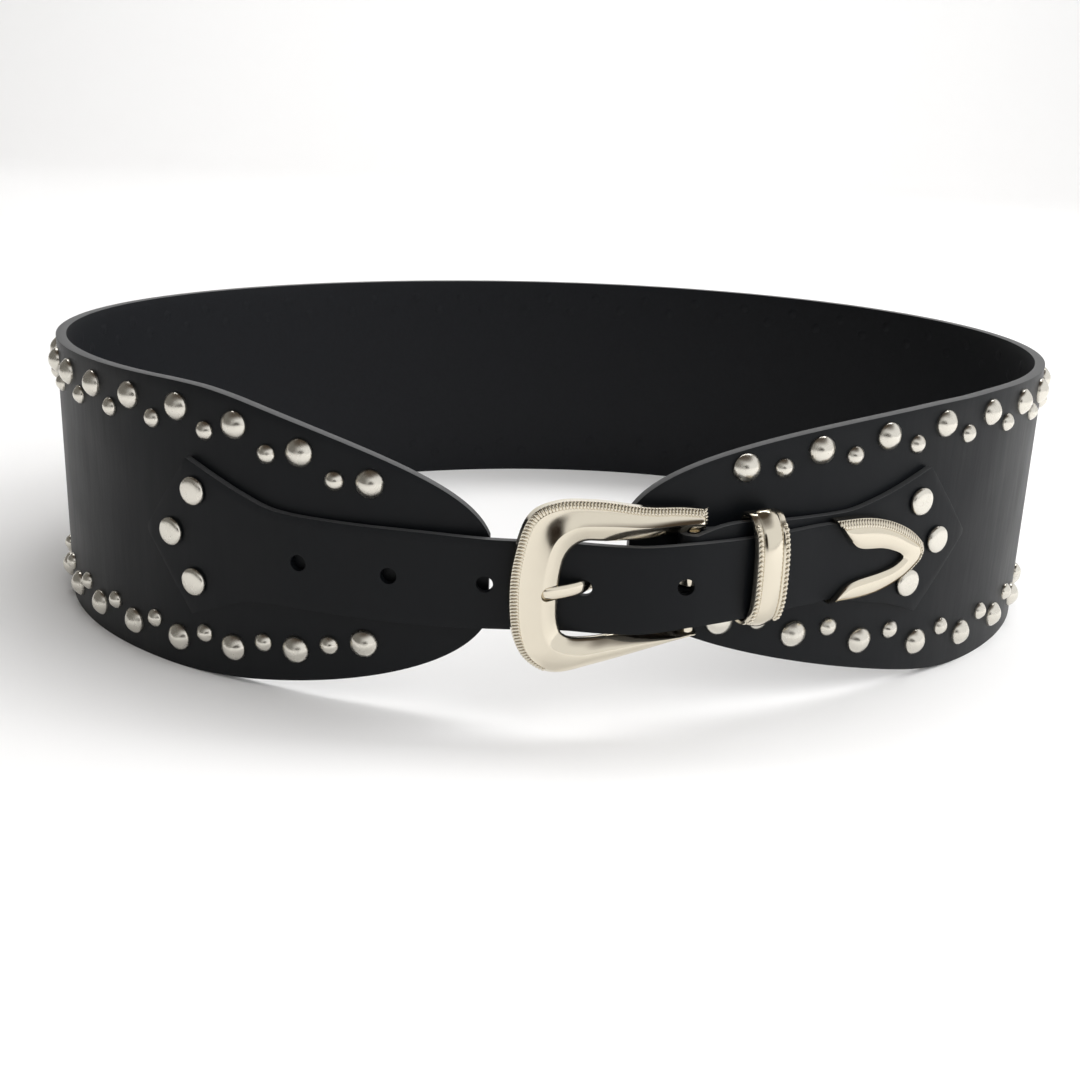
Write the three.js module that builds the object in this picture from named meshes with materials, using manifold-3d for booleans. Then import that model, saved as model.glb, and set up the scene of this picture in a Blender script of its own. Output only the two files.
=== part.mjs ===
// A wide waist belt of smooth black leather, closed at the front by a narrow strap with a
// horseshoe-shaped western buckle, and edged all round with two rows of dome studs.
// Millimetres, +Z up. The belt stands on its lower edge as a closed oval ring, front towards -Y.
// Places along the belt are arc lengths on the oval from the middle of the front, positive
// towards +X. Offsets are distances outwards from the middle of the band's wall.
import * as THREE from 'three';
import { mergeVertices } from 'three/addons/utils/BufferGeometryUtils.js';
import Module from 'manifold-3d';

const wasm = await Module();
wasm.setup();

// Clearance between two pieces that lie against each other
const fit = 0.3;

// The oval that the band follows, with the slight lean it has taken standing up
const planHalfLength = 153.6;
const planHalfDepth = 124.4;
const planLean = 5.5;
const planPinch = -1;
// The oval's own middle, set so that the whole belt's box is centred over the origin
const planMiddleX = 0.2;
const planMiddleY = 3.2;
const planSteps = 1440;
// Distances either side of a place over which a slope is taken
const slopeSteps = 4;
const slopeReach = 0.5;

// Waist band
const bandHeight = 80;
const bandThickness = 3;
const leftEndPlace = -9.6;
const rightEndPlace = 25;
const leftTaper = 78.9;
const rightTaper = 105;
const taperBluntness = 0.33;
const shoulderSoftness = 0.06;
const shoulderEnd = 1.22;
const endNose = 0.02;
const leftEndDrop = 2.9;
const rightEndLift = 4.6;
const endShiftEase = 1.3;
const bandStep = 12;
const taperSteps = 11;
const taperCrowding = 2.2;

// Dome studs in two staggered sizes along both edges
const bigStudDiameter = 7.5;
const bigStudHeight = 2.8;
const smallStudDiameter = 5.2;
const smallStudHeight = 2.1;
const studSink = 0.6;
const bigStudSides = 9;
const smallStudSides = 7;
// The shoulder of a stud's or rivet's dome, as shares of its radius and of its height
const domeShoulderOut = 0.78;
const domeShoulderUp = 0.62;
const studStart = 40;
// One row for each edge and side: the first big stud's place as a share of the studs' start,
// how many stud pitches reach the middle of the back, and how far the big and small studs lie
// in from the edge, as shares of the big stud's diameter
const studRows = [
  { edge: 'upper', side: -1, first: -0.993, pitches: 21.5, big: 0.868, bigTip: 0.133,
    small: 1.533, smallTip: -0.106 },
  { edge: 'upper', side: 1, first: 1.353, pitches: 18.5, big: 0.786, bigTip: -0.16,
    small: 1.414, smallTip: -0.414 },
  { edge: 'lower', side: -1, first: -1.035, pitches: 21, big: 1.093, bigTip: 0.16,
    small: 1.626, smallTip: -0.32 },
  { edge: 'lower', side: 1, first: 1.25, pitches: 18, big: 1.214, bigTip: -0.306,
    small: 1.786, smallTip: -0.506 },
];
// How much of a row's change at the band's tip is left from one stud to the next
const tipEase = 0.6;

// Narrow straps
const strapThickness = 2;
const tipStrapRoot = -106;
const tipStrapHalfWidth = 12.3;
const tipStrapDrop = 2.2;
const buckleStrapRoot = 127;
const buckleStrapReach = 87;
const buckleStrapHalfWidth = 12;
const buckleStrapRise = 2.3;
// How far the metal tip stops short of the buckle strap's root
const tipToRoot = 19.5;
const foldTail = 9;
const foldTurns = 6;
const strapStep = 5;
const strapEndHalf = 0.4;
// Outlines from the root's point: how far along the strap, as a share of its reach, the half
// width as a share of the strap's, and the height of its middle as a share of its drop or rise
const tipStrapOutline = [
  { along: 0, half: 0.06, level: 0.5 },
  { along: 0.07, half: 1.75, level: 0.4 },
  { along: 0.118, half: 1.4, level: 0.45 },
  { along: 0.15, half: 1.18, level: 0.5 },
  { along: 0.19, half: 1.03, level: 0.95 },
  { along: 0.25, half: 1, level: 1.2 },
  { along: 0.38, half: 0.99, level: 1.38 },
  { along: 0.46, half: 0.95, level: 1.42 },
  { along: 0.62, half: 0.92, level: 1.12 },
  { along: 0.68, half: 0.88, level: 0.45 },
  { along: 0.78, half: 0.85, level: 0 },
  { along: 0.86, half: 0.84, level: -0.45 },
  { along: 1, half: 0.84, level: -0.4 },
];
const buckleStrapOutline = [
  { along: 0, half: 0.06, level: 0.9 },
  { along: 0.19, half: 1.7, level: 0.95 },
  { along: 0.31, half: 1.36, level: 0.85 },
  { along: 0.4, half: 1.18, level: 0.6 },
  { along: 0.5, half: 1.02, level: 0.5 },
  { along: 0.7, half: 1, level: 0.45 },
  { along: 0.86, half: 0.99, level: 0.85 },
  { along: 0.93, half: 0.94, level: 0.85 },
  { along: 1, half: 0.8, level: 0.5 },
];
// How the buckle strap comes down from the bar to the band, as shares of its reach and rise
const buckleStrapFall = [
  { along: 0, rise: 1 },
  { along: 0.09, rise: 0.84 },
  { along: 0.14, rise: 0.7 },
  { along: 0.19, rise: 0.56 },
  { along: 0.25, rise: 0.4 },
  { along: 0.32, rise: 0.24 },
  { along: 0.41, rise: 0.07 },
  { along: 0.55, rise: 0 },
  { along: 1, rise: 0 },
];
// How the tip strap dives from the bar's front to the back of the frame's closed end, as
// shares of the frame's length and of the height over the band
const tipStrapDive = [
  { along: 0, rise: 1 },
  { along: 0.09, rise: 0.99 },
  { along: 0.27, rise: 0.88 },
  { along: 0.41, rise: 0.7 },
  { along: 0.55, rise: 0.46 },
  { along: 0.64, rise: 0.3 },
  { along: 0.74, rise: 0.24 },
  { along: 1, rise: 0.2 },
  { along: 1.6, rise: 0.08 },
  { along: 2.3, rise: 0 },
  { along: 4, rise: 0 },
];

// Punched holes of the tip strap
const holeCount = 5;
const holePitch = 23.8;
const holeDiameter = 4.3;
const holeSides = 12;
const prongHole = 3;
const prongHoleReach = 26.6;
const prongHoleStretch = 1.05;

// Buckle frame: a horseshoe with its bar between the arm ends
const frameLength = 46.6;
const frameLevel = -2.3;
const frameTopHalf = 22.7;
const frameBottomHalf = 22;
const frameOpening = 34.3;
const openingHalf = 13.7;
const frameDepth = 4;
const frameRimDepth = 3;
const frameRimWidth = 2.2;
const frameGrooveDepth = 2.5;
const frameLipDepth = 1.5;
const frameRimLimit = 0.4;
const frameCrestShare = 0.48;
const barDiameter = 3;
const barDepth = 1.6;
const barSides = 12;
const barBury = 1;
const notchDepth = 0.9;
// Where the frame's back passes the strap's front, as a share of the way to the closed end
const lipShare = 0.83;
// Stations round the horseshoe from the upper arm's end to the lower arm's end. Places along
// are shares of the frame's length and of the opening's, heights are shares of the half sizes.
const frameStations = [
  { outerAlong: -0.035, outerHeight: 0.85, innerAlong: -0.05, innerHeight: 1.01 },
  { outerAlong: 0.09, outerHeight: 0.885, innerAlong: 0.14, innerHeight: 0.96 },
  { outerAlong: 0.28, outerHeight: 0.9, innerAlong: 0.36, innerHeight: 0.885 },
  { outerAlong: 0.54, outerHeight: 0.985, innerAlong: 0.64, innerHeight: 0.875 },
  { outerAlong: 0.76, outerHeight: 0.99, innerAlong: 0.83, innerHeight: 0.885 },
  { outerAlong: 0.91, outerHeight: 0.83, innerAlong: 0.945, innerHeight: 0.655 },
  { outerAlong: 0.985, outerHeight: 0.35, innerAlong: 0.988, innerHeight: 0.235 },
  { outerAlong: 1, outerHeight: -0.09, innerAlong: 1, innerHeight: -0.22 },
  { outerAlong: 0.972, outerHeight: -0.54, innerAlong: 0.988, innerHeight: -0.68 },
  { outerAlong: 0.892, outerHeight: -0.835, innerAlong: 0.918, innerHeight: -0.92 },
  { outerAlong: 0.74, outerHeight: -1, innerAlong: 0.743, innerHeight: -0.96 },
  { outerAlong: 0.54, outerHeight: -0.936, innerAlong: 0.57, innerHeight: -0.92 },
  { outerAlong: 0.28, outerHeight: -0.81, innerAlong: 0.35, innerHeight: -0.9 },
  { outerAlong: 0.086, outerHeight: -0.7, innerAlong: 0.13, innerHeight: -0.9 },
  { outerAlong: -0.017, outerHeight: -0.645, innerAlong: -0.035, innerHeight: -0.9 },
];

// Prong: an eye round the bar and a tongue through the fourth hole onto the closed end
const prongWidth = 3.4;
const prongThickness = 1.6;
const prongReach = 39;
const prongEyeWall = 1.6;
const prongSlope = 0.07;
const prongLevel = 2;
const prongDip = 3.5;
const prongFlatShare = 0.6;
const prongTipShare = 0.7;
const prongStep = 2.6;
// The tongue's way from the bar through the strap: distances as shares of the way to the hole,
// dips below the bar's middle as shares of the deepest
const prongCourse = [
  { along: 0.1, dip: 0 },
  { along: 0.4, dip: 0.37 },
  { along: 0.76, dip: 0.91 },
  { along: 0.88, dip: 1 },
  { along: 1, dip: 0.74 },
  { along: 1.12, dip: 0.29 },
];

// Keeper loop round both straps
const keeperReach = 17.3;
const keeperWidth = 9.4;
const keeperHalfHeight = 13.8;
const keeperSlack = 0.75;
const keeperFrontSlack = 1.45;
const keeperWall = 1.3;
const keeperBulge = 1.2;
const keeperShoulder = 4;
const keeperRimWidth = 1.4;
const keeperRimDepth = 0.5;
const keeperFlatness = 0.25;
const keeperRoundness = 0.7;
const keeperSquareness = 0.5;
const keeperSteps = 24;

// Metal tip on the end of the tip strap
const tipLength = 29.8;
const tipHalfHeight = 11.3;
const tipArch = 24;
const tipArchPower = 0.75;
const tipWall = 0.8;
const tipPlate = 2;
const tipRimWidth = 1.5;
const tipRimDepth = 1.6;
const tipLipDepth = 0.9;
const tipRimLimit = 0.6;
const tipEdgeLimit = 0.5;
const tipPlateShare = 0.4;
// Stations round the V: distances back from its apex as shares of its length, and heights as
// shares of its half height
const tipStations = [
  { outerAlong: 1, outerHeight: 1, innerAlong: 0.955, innerHeight: 0.84 },
  { outerAlong: 0.87, outerHeight: 1, innerAlong: 0.84, innerHeight: 0.48 },
  { outerAlong: 0.74, outerHeight: 1, innerAlong: 0.73, innerHeight: 0.28 },
  { outerAlong: 0.54, outerHeight: 0.94, innerAlong: 0.5, innerHeight: 0.22 },
  { outerAlong: 0.27, outerHeight: 0.65, innerAlong: 0.34, innerHeight: 0.09 },
  { outerAlong: 0.08, outerHeight: 0.26, innerAlong: 0.27, innerHeight: -0.02 },
  { outerAlong: 0, outerHeight: 0, innerAlong: 0.258, innerHeight: -0.09 },
  { outerAlong: 0.08, outerHeight: -0.26, innerAlong: 0.28, innerHeight: -0.17 },
  { outerAlong: 0.27, outerHeight: -0.65, innerAlong: 0.37, innerHeight: -0.3 },
  { outerAlong: 0.54, outerHeight: -0.94, innerAlong: 0.52, innerHeight: -0.4 },
  { outerAlong: 0.74, outerHeight: -1, innerAlong: 0.74, innerHeight: -0.5 },
  { outerAlong: 0.87, outerHeight: -1, innerAlong: 0.85, innerHeight: -0.62 },
  { outerAlong: 1, outerHeight: -1, innerAlong: 0.955, innerHeight: -0.88 },
];

// Rivets through the straps' wide ends, back from the root's point as shares of the setback and
// up from the strap's middle as shares of the rise
const rivetDiameter = 7.7;
const rivetHeight = 1.8;
const rivetShank = 2.6;
const rivetBackDiameter = 6;
const rivetBackThickness = 0.8;
const rivetSides = 10;
const rivetSetback = 17;
const rivetRise = 12;
const rivetPlaces = [
  { name: 'rivet_left_upper', strap: 'tip', back: 1.018, up: 1.092 },
  { name: 'rivet_left_middle', strap: 'tip', back: 0.547, up: 0.058 },
  { name: 'rivet_left_lower', strap: 'tip', back: 0.971, up: -1 },
  { name: 'rivet_right_upper', strap: 'buckle', back: 1.147, up: 0.95 },
  { name: 'rivet_right_middle', strap: 'buckle', back: 0.682, up: -0.033 },
  { name: 'rivet_right_lower', strap: 'buckle', back: 1.241, up: -0.942 },
];

// Colours and finishes
const blackLeather = { color: 0x202122, roughness: 0.42, metalness: 0 };
const warmNickel = { color: 0xd9d3c6, roughness: 0.16, metalness: 1 };
const whiteNickel = { color: 0xe4e2de, roughness: 0.2, metalness: 1 };

// Where the layers lie, from the band's wall outwards
const middle = bandHeight / 2;
const bandFace = bandThickness / 2;
const strapSeat = bandFace + fit + strapThickness / 2;
const layerStep = strapThickness + 1.5 * fit;
const foldRadius = barDiameter / 2 + fit + strapThickness / 2;
const barOffset = strapSeat + foldRadius;
const barPlace = buckleStrapRoot - buckleStrapReach;
const tipApex = buckleStrapRoot - tipToRoot;
const tipStrapReach = tipApex - tipStrapRoot;
const firstHole = barPlace - prongHoleReach - holePitch * prongHole;
const keeperPlace = barPlace + keeperReach;
const tipFlare = tipStrapReach * tipStrapOutline[1].along;
const buckleFlare = buckleStrapReach * buckleStrapOutline[1].along;

// The oval, measured once along its length from the middle of the front
function planPoint(turn) {
  const flat = new THREE.Vector2(planHalfLength * Math.cos(turn), planHalfDepth * Math.sin(turn));
  const away = new THREE.Vector2(Math.cos(turn) / planHalfLength, Math.sin(turn) / planHalfDepth);
  const lean = planLean * Math.sin(2 * turn) + planPinch * Math.sin(3 * turn);
  const middlePoint = new THREE.Vector2(planMiddleX, planMiddleY);
  return flat.add(middlePoint).addScaledVector(away.normalize(), lean);
}

const planPoints = [];
const planLengths = [0];
for (let step = 0; step <= planSteps; step++) {
  planPoints.push(planPoint((step / planSteps) * 2 * Math.PI - Math.PI / 2));
  if (step > 0) {
    planLengths.push(planLengths[step - 1] + planPoints[step].distanceTo(planPoints[step - 1]));
  }
}
const planLength = planLengths[planSteps];

function planAt(place) {
  const wanted = ((place % planLength) + planLength) % planLength;
  let low = 0;
  let high = planSteps;
  while (high - low > 1) {
    const half = Math.floor((low + high) / 2);
    if (planLengths[half] > wanted) high = half;
    else low = half;
  }
  const share = (wanted - planLengths[low]) / (planLengths[high] - planLengths[low]);
  const point = planPoints[low].clone().lerp(planPoints[high], share);
  const before = planPoints[(low + planSteps - slopeSteps) % planSteps];
  const after = planPoints[(low + 1 + slopeSteps) % planSteps];
  const along = after.clone().sub(before).normalize();
  return { point, along, outward: new THREE.Vector2(along.y, -along.x) };
}

function onPlan(place, offset) {
  const { point, outward } = planAt(place);
  return point.clone().addScaledVector(outward, offset);
}

function inSpace(place, offset, level) {
  const point = onPlan(place, offset);
  return new THREE.Vector3(point.x, point.y, level);
}

// A smooth reading of one column of a table at a given place
function readTable(rows, at, column) {
  const last = rows.length - 1;
  let row = 0;
  while (row < last - 1 && rows[row + 1].along < at) row += 1;
  const from = rows[row];
  const to = rows[row + 1];
  const before = rows[Math.max(row - 1, 0)];
  const after = rows[Math.min(row + 2, last)];
  const span = to.along - from.along;
  const share = Math.min(Math.max((at - from.along) / span, 0), 1);
  const slopeIn = ((to[column] - before[column]) / (to.along - before.along)) * span;
  const slopeOut = ((after[column] - from[column]) / (after.along - from.along)) * span;
  const square = share * share;
  const cube = square * share;
  return (2 * cube - 3 * square + 1) * from[column] + (cube - 2 * square + share) * slopeIn
    + (3 * square - 2 * cube) * to[column] + (cube - square) * slopeOut;
}

// Meshes and solids

function toSolid(geometry) {
  const bare = geometry.clone();
  bare.deleteAttribute('normal');
  bare.deleteAttribute('uv');
  const merged = mergeVertices(bare, 1e-5);
  const vertProperties = new Float32Array(merged.attributes.position.array);
  const triVerts = new Uint32Array(merged.index.array);
  return new wasm.Manifold(new wasm.Mesh({ numProp: 3, vertProperties, triVerts }));
}

function toGeometry(solid) {
  const mesh = solid.getMesh();
  const geometry = new THREE.BufferGeometry();
  geometry.setAttribute('position', new THREE.BufferAttribute(mesh.vertProperties, 3));
  geometry.setIndex(new THREE.BufferAttribute(mesh.triVerts, 1));
  geometry.computeVertexNormals();
  return geometry;
}

// A closed skin over a row of like polygons, with flat ends unless the row closes on itself
function skin(rings, closed = false) {
  const corners = rings[0].length;
  const positions = rings.flat().flatMap((corner) => [corner.x, corner.y, corner.z]);
  const triangles = [];
  const spans = closed ? rings.length : rings.length - 1;
  for (let ring = 0; ring < spans; ring++) {
    const next = (ring + 1) % rings.length;
    for (let corner = 0; corner < corners; corner++) {
      const beside = (corner + 1) % corners;
      const a = ring * corners + corner;
      const b = ring * corners + beside;
      const c = next * corners + beside;
      const d = next * corners + corner;
      triangles.push([a, b, c], [a, c, d]);
    }
  }
  if (!closed) {
    const lastRing = (rings.length - 1) * corners;
    for (const [a, b, c] of capTriangles(rings[0])) triangles.push([a, c, b]);
    for (const [a, b, c] of capTriangles(rings[rings.length - 1])) {
      triangles.push([lastRing + a, lastRing + b, lastRing + c]);
    }
  }
  const geometry = new THREE.BufferGeometry();
  geometry.setAttribute('position', new THREE.Float32BufferAttribute(positions, 3));
  geometry.setIndex(facingOut(triangles, positions).flat());
  return geometry;
}

// Triangles over one flat polygon, in the polygon's own turning direction
function capTriangles(ring) {
  const normal = new THREE.Vector3();
  ring.forEach((corner, index) => {
    const next = ring[(index + 1) % ring.length];
    normal.add(corner.clone().cross(next));
  });
  normal.normalize();
  const across = ring[1].clone().sub(ring[0]).normalize();
  const up = normal.clone().cross(across);
  const contour = ring.map((corner) => new THREE.Vector2(corner.dot(across), corner.dot(up)));
  return THREE.ShapeUtils.triangulateShape(contour, []);
}

// The same triangles, turned over if the skin encloses a negative volume
function facingOut(triangles, positions) {
  const at = (index) => new THREE.Vector3().fromArray(positions, index * 3);
  let volume = 0;
  for (const [a, b, c] of triangles) volume += at(a).dot(at(b).cross(at(c)));
  return volume > 0 ? triangles : triangles.map(([a, b, c]) => [a, c, b]);
}

// An upright sheet of leather: its stations give a place in the plan, the way out of the
// sheet there, and its lower and upper edge
function sheet(stations, thickness) {
  const rings = stations.map(({ point, outward, low, high }) => {
    const front = point.clone().addScaledVector(outward, thickness / 2);
    const back = point.clone().addScaledVector(outward, -thickness / 2);
    return [
      new THREE.Vector3(front.x, front.y, low),
      new THREE.Vector3(front.x, front.y, high),
      new THREE.Vector3(back.x, back.y, high),
      new THREE.Vector3(back.x, back.y, low),
    ];
  });
  return toSolid(skin(rings));
}

// Stations of a sheet that runs from one place to another at a varying offset
function sheetStations(places, offsetAt, edgesAt) {
  return places.map((place) => {
    const before = onPlan(place - slopeReach, offsetAt(place - slopeReach));
    const after = onPlan(place + slopeReach, offsetAt(place + slopeReach));
    const along = after.sub(before).normalize();
    return {
      point: onPlan(place, offsetAt(place)),
      outward: new THREE.Vector2(along.y, -along.x),
      ...edgesAt(place),
    };
  });
}

function evenPlaces(from, to, step) {
  const count = Math.max(Math.ceil(Math.abs(to - from) / step), 1);
  return Array.from({ length: count + 1 }, (_, index) => from + ((to - from) * index) / count);
}

// The way a piece sits on the belt: X along it, Y up, Z out of it
function seat(place, offset, level) {
  const { along, outward } = planAt(place);
  const basis = new THREE.Matrix4().makeBasis(
    new THREE.Vector3(along.x, along.y, 0),
    new THREE.Vector3(0, 0, 1),
    new THREE.Vector3(outward.x, outward.y, 0),
  );
  return basis.setPosition(inSpace(place, offset, level));
}

// A turned piece: its profile gives radius and height, and it faces out of the belt
function turned(profile, sides, place, offset, level) {
  const outline = profile.map(({ radius, height }) => new THREE.Vector2(radius, height));
  const geometry = new THREE.LatheGeometry(outline, sides);
  geometry.rotateX(Math.PI / 2);
  return toSolid(geometry.applyMatrix4(seat(place, offset, level)));
}

// A round punch through the leather, or a long one where it is stretched along the belt
function punch({ diameter, stretch = 0, length, place, offset, level }) {
  const basis = seat(place, offset, level);
  const rings = [-length / 2, length / 2].map((depth) =>
    Array.from({ length: holeSides }, (_, side) => {
      const turn = (2 * Math.PI * (side + 0.5)) / holeSides;
      const across = (diameter / 2) * Math.cos(turn) + stretch * Math.sign(Math.cos(turn));
      const up = (diameter / 2) * Math.sin(turn);
      return new THREE.Vector3(across, up, depth).applyMatrix4(basis);
    }));
  return toSolid(skin(rings));
}

// Waist band

// Lower and upper edge of the band at a place: blunt tapered ends with soft shoulders
function bandEdges(place) {
  const left = (leftEndPlace - place) / leftTaper;
  const right = (place - rightEndPlace) / rightTaper;
  const side = place < 0 ? left : right;
  const share = Math.max(side + endNose, endNose);
  const taper = share ** taperBluntness;
  const blend = Math.min(Math.max((1 - taper) / (2 * shoulderSoftness) + 0.5, 0), 1);
  const full = 1 + blend * (taper - 1) - shoulderSoftness * blend * (1 - blend);
  const half = middle * full;
  const shift = place < 0 ? -leftEndDrop : rightEndLift;
  const centre = middle + shift * Math.max(1 - share * share, 0) ** endShiftEase;
  return { low: Math.max(centre - half, 0), high: Math.min(centre + half, bandHeight) };
}

// Places down the band, close together towards an end's tip
function taperPlaces(tip, reach) {
  return Array.from(
    { length: taperSteps + 1 },
    (_, index) => tip + reach * (index / taperSteps) ** taperCrowding,
  );
}

function bandPlaces() {
  const right = taperPlaces(rightEndPlace, rightTaper * (shoulderEnd - endNose));
  const left = taperPlaces(leftEndPlace, -leftTaper * (shoulderEnd - endNose)).reverse();
  const backFrom = right.pop();
  const backTo = left.shift();
  const back = evenPlaces(backFrom, backTo + planLength, bandStep);
  return [
    ...right,
    ...back.map((place) => (place > planLength / 2 ? place - planLength : place)),
    ...left,
  ];
}

// The profile of a dome over its foot, from its rim to its top
function domeProfile(radius, foot, height) {
  return [
    { radius: radius * domeShoulderOut, height: foot + height * domeShoulderUp },
    { radius: 0, height: foot + height },
  ];
}

function stud(diameter, height, sides, place, level) {
  const radius = diameter / 2;
  return turned([
    { radius: 0, height: -studSink },
    { radius, height: -studSink },
    ...domeProfile(radius, 0, height),
  ], sides, place, bandFace, level);
}

// Every stud: its place along the belt, its height and its size. The rows on the left take
// the one in the middle of the back.
function studPlaces() {
  const studs = [];
  for (const row of studRows) {
    const first = row.first * studStart;
    const pitch = (planLength / 2 - Math.abs(first)) / row.pitches;
    const halves = Math.round(row.pitches * 2) + (row.side < 0 ? 1 : 0);
    for (let half = 0; half < halves; half++) {
      const place = first + row.side * pitch * (half / 2);
      const big = half % 2 === 0;
      const ease = tipEase ** Math.floor(half / 2);
      const share = big ? row.big + row.bigTip * ease : row.small + row.smallTip * ease;
      const inset = bigStudDiameter * share;
      const { low, high } = bandEdges(place);
      studs.push({ place, level: row.edge === 'upper' ? high - inset : low + inset, big });
    }
  }
  return studs;
}

function waistBand(rivetHoles) {
  let band = sheet(sheetStations(bandPlaces(), () => 0, bandEdges), bandThickness);
  for (const { place, level, big } of studPlaces()) {
    const diameter = big ? bigStudDiameter : smallStudDiameter;
    const height = big ? bigStudHeight : smallStudHeight;
    const sides = big ? bigStudSides : smallStudSides;
    band = band.add(stud(diameter, height, sides, place, level));
  }
  return rivetHoles.reduce((solid, hole) => solid.subtract(hole), band);
}

// Straps

function tipStrapMiddle(place) {
  const share = (place - tipStrapRoot) / tipStrapReach;
  return middle - tipStrapDrop * readTable(tipStrapOutline, share, 'level');
}

function buckleStrapMiddle(place) {
  const share = (buckleStrapRoot - place) / buckleStrapReach;
  return middle + buckleStrapRise * readTable(buckleStrapOutline, share, 'level');
}

function buckleStrapOffset(place) {
  const share = (place - barPlace) / buckleStrapReach;
  return strapSeat + 2 * foldRadius * readTable(buckleStrapFall, share, 'rise');
}

function tipStrapOffset(place) {
  if (place >= barPlace) return buckleStrapOffset(place) + layerStep;
  const share = (barPlace - place) / frameLength;
  const height = 2 * foldRadius + layerStep;
  return strapSeat + height * readTable(tipStrapDive, share, 'rise');
}

// Half height of the metal tip's arch at a distance back from its apex
function tipArchHalf(back) {
  const share = Math.min(Math.max(back / tipArch, 0), 1);
  return tipHalfHeight * (1 - (1 - share) ** 2) ** tipArchPower;
}

function tipStrapEdges(place) {
  const share = (place - tipStrapRoot) / tipStrapReach;
  const wide = tipStrapHalfWidth * readTable(tipStrapOutline, share, 'half');
  const inset = tipWall + fit;
  const pointed = tipArchHalf(tipApex - place - inset) - inset;
  const capped = place > tipApex - tipLength - fit;
  const half = capped ? Math.min(wide, Math.max(pointed, strapEndHalf)) : wide;
  const centre = tipStrapMiddle(place);
  return { low: centre - half, high: centre + half };
}

function punchedHole(index) {
  const place = firstHole + holePitch * index;
  const held = index === prongHole;
  return punch({
    diameter: holeDiameter,
    stretch: held ? prongHoleStretch : 0,
    length: 4 * strapThickness,
    place,
    offset: tipStrapOffset(place),
    level: held ? prongLevelAt(barPlace - place) : tipStrapMiddle(place),
  });
}

function tipStrap(rivetHoles) {
  const end = tipApex - tipWall - 2 * fit;
  const flare = evenPlaces(tipStrapRoot, tipStrapRoot + tipFlare, strapStep * 2);
  const length = evenPlaces(flare.pop(), tipApex - tipArch, strapStep);
  const point = evenPlaces(length.pop(), end, strapStep / 2);
  const stations = sheetStations([...flare, ...length, ...point], tipStrapOffset, tipStrapEdges);
  const holes = Array.from({ length: holeCount }, (_, index) => punchedHole(index));
  const strap = sheet(stations, strapThickness);
  return [...rivetHoles, ...holes].reduce((solid, hole) => solid.subtract(hole), strap);
}

function buckleStrapEdges(place) {
  const share = (buckleStrapRoot - place) / buckleStrapReach;
  const half = buckleStrapHalfWidth * readTable(buckleStrapOutline, share, 'half');
  const centre = buckleStrapMiddle(place);
  return { low: centre - half, high: centre + half };
}

// Stations round the bar from the strap's front layer to its back layer
function foldStations() {
  const { point, along, outward } = planAt(barPlace);
  const centre = point.clone().addScaledVector(outward, barOffset);
  const edges = buckleStrapEdges(barPlace);
  return Array.from({ length: foldTurns + 1 }, (_, index) => {
    const turn = (Math.PI * index) / foldTurns;
    const way = outward.clone().multiplyScalar(Math.cos(turn));
    way.addScaledVector(along, -Math.sin(turn));
    const place = centre.clone().addScaledVector(way, foldRadius);
    return { point: place, outward: way, ...edges };
  });
}

function buckleStrap(rivetHoles) {
  const corner = buckleStrapRoot - buckleFlare;
  const flare = evenPlaces(buckleStrapRoot, corner, strapStep * 2).slice(0, -1);
  const length = evenPlaces(corner, barPlace, strapStep).slice(0, -1);
  const front = sheetStations([...flare, ...length], buckleStrapOffset, buckleStrapEdges);
  const tailPlaces = evenPlaces(barPlace, barPlace + foldTail, strapStep).slice(1);
  const tailEdges = () => buckleStrapEdges(barPlace);
  const tail = sheetStations(tailPlaces, () => strapSeat, tailEdges)
    .map((station) => ({ ...station, outward: station.outward.negate() }));
  const strap = sheet([...front, ...foldStations(), ...tail], strapThickness);
  return [...rivetHoles, eyeSlot()].reduce((solid, hole) => solid.subtract(hole), strap);
}

// Buckle: its parts are placed in the frame's own plane, from the bar towards the closed end

const lipPlace = barPlace - frameOpening * lipShare;
const frameOrigin = onPlan(barPlace, barOffset - barDepth);
const lipSeat = onPlan(lipPlace, tipStrapOffset(lipPlace) + strapThickness / 2 + 2 * fit);
const frameAlong = lipSeat.clone().sub(frameOrigin).normalize();
const frameOutward = new THREE.Vector2(-frameAlong.y, frameAlong.x);
const frameMiddle = middle + frameLevel;

function inFrame(along, depth, height) {
  const point = frameOrigin.clone().addScaledVector(frameAlong, along);
  point.addScaledVector(frameOutward, depth);
  return new THREE.Vector3(point.x, point.y, frameMiddle + height);
}

function prongLevelAt(along) {
  return frameMiddle + prongLevel - prongSlope * along;
}

// A block in the frame's plane, given by its ranges along, in depth and in height
function frameBlock([alongFrom, alongTo], [depthFrom, depthTo], [low, high]) {
  const rings = [alongFrom, alongTo].map((along) => [
    inFrame(along, depthFrom, low),
    inFrame(along, depthTo, low),
    inFrame(along, depthTo, high),
    inFrame(along, depthFrom, high),
  ]);
  return toSolid(skin(rings));
}

function eyeSlot() {
  const reach = foldRadius + strapThickness;
  const half = prongWidth / 2 + 2 * fit;
  const level = prongLevelAt(0) - frameMiddle;
  return frameBlock(
    [-reach, reach], [barDepth - reach, barDepth + reach], [level - half, level + half],
  );
}

// Points of the outer and inner edge round a moulding, smoothed through its stations
function smoothStations(stations, steps) {
  const outer = new THREE.SplineCurve(
    stations.map(({ outerAlong, outerHeight }) => new THREE.Vector2(outerAlong, outerHeight)),
  );
  const inner = new THREE.SplineCurve(
    stations.map(({ innerAlong, innerHeight }) => new THREE.Vector2(innerAlong, innerHeight)),
  );
  const count = (stations.length - 1) * steps;
  return Array.from({ length: count + 1 }, (_, index) => ({
    outer: outer.getPoint(index / count),
    inner: inner.getPoint(index / count),
  }));
}

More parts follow.
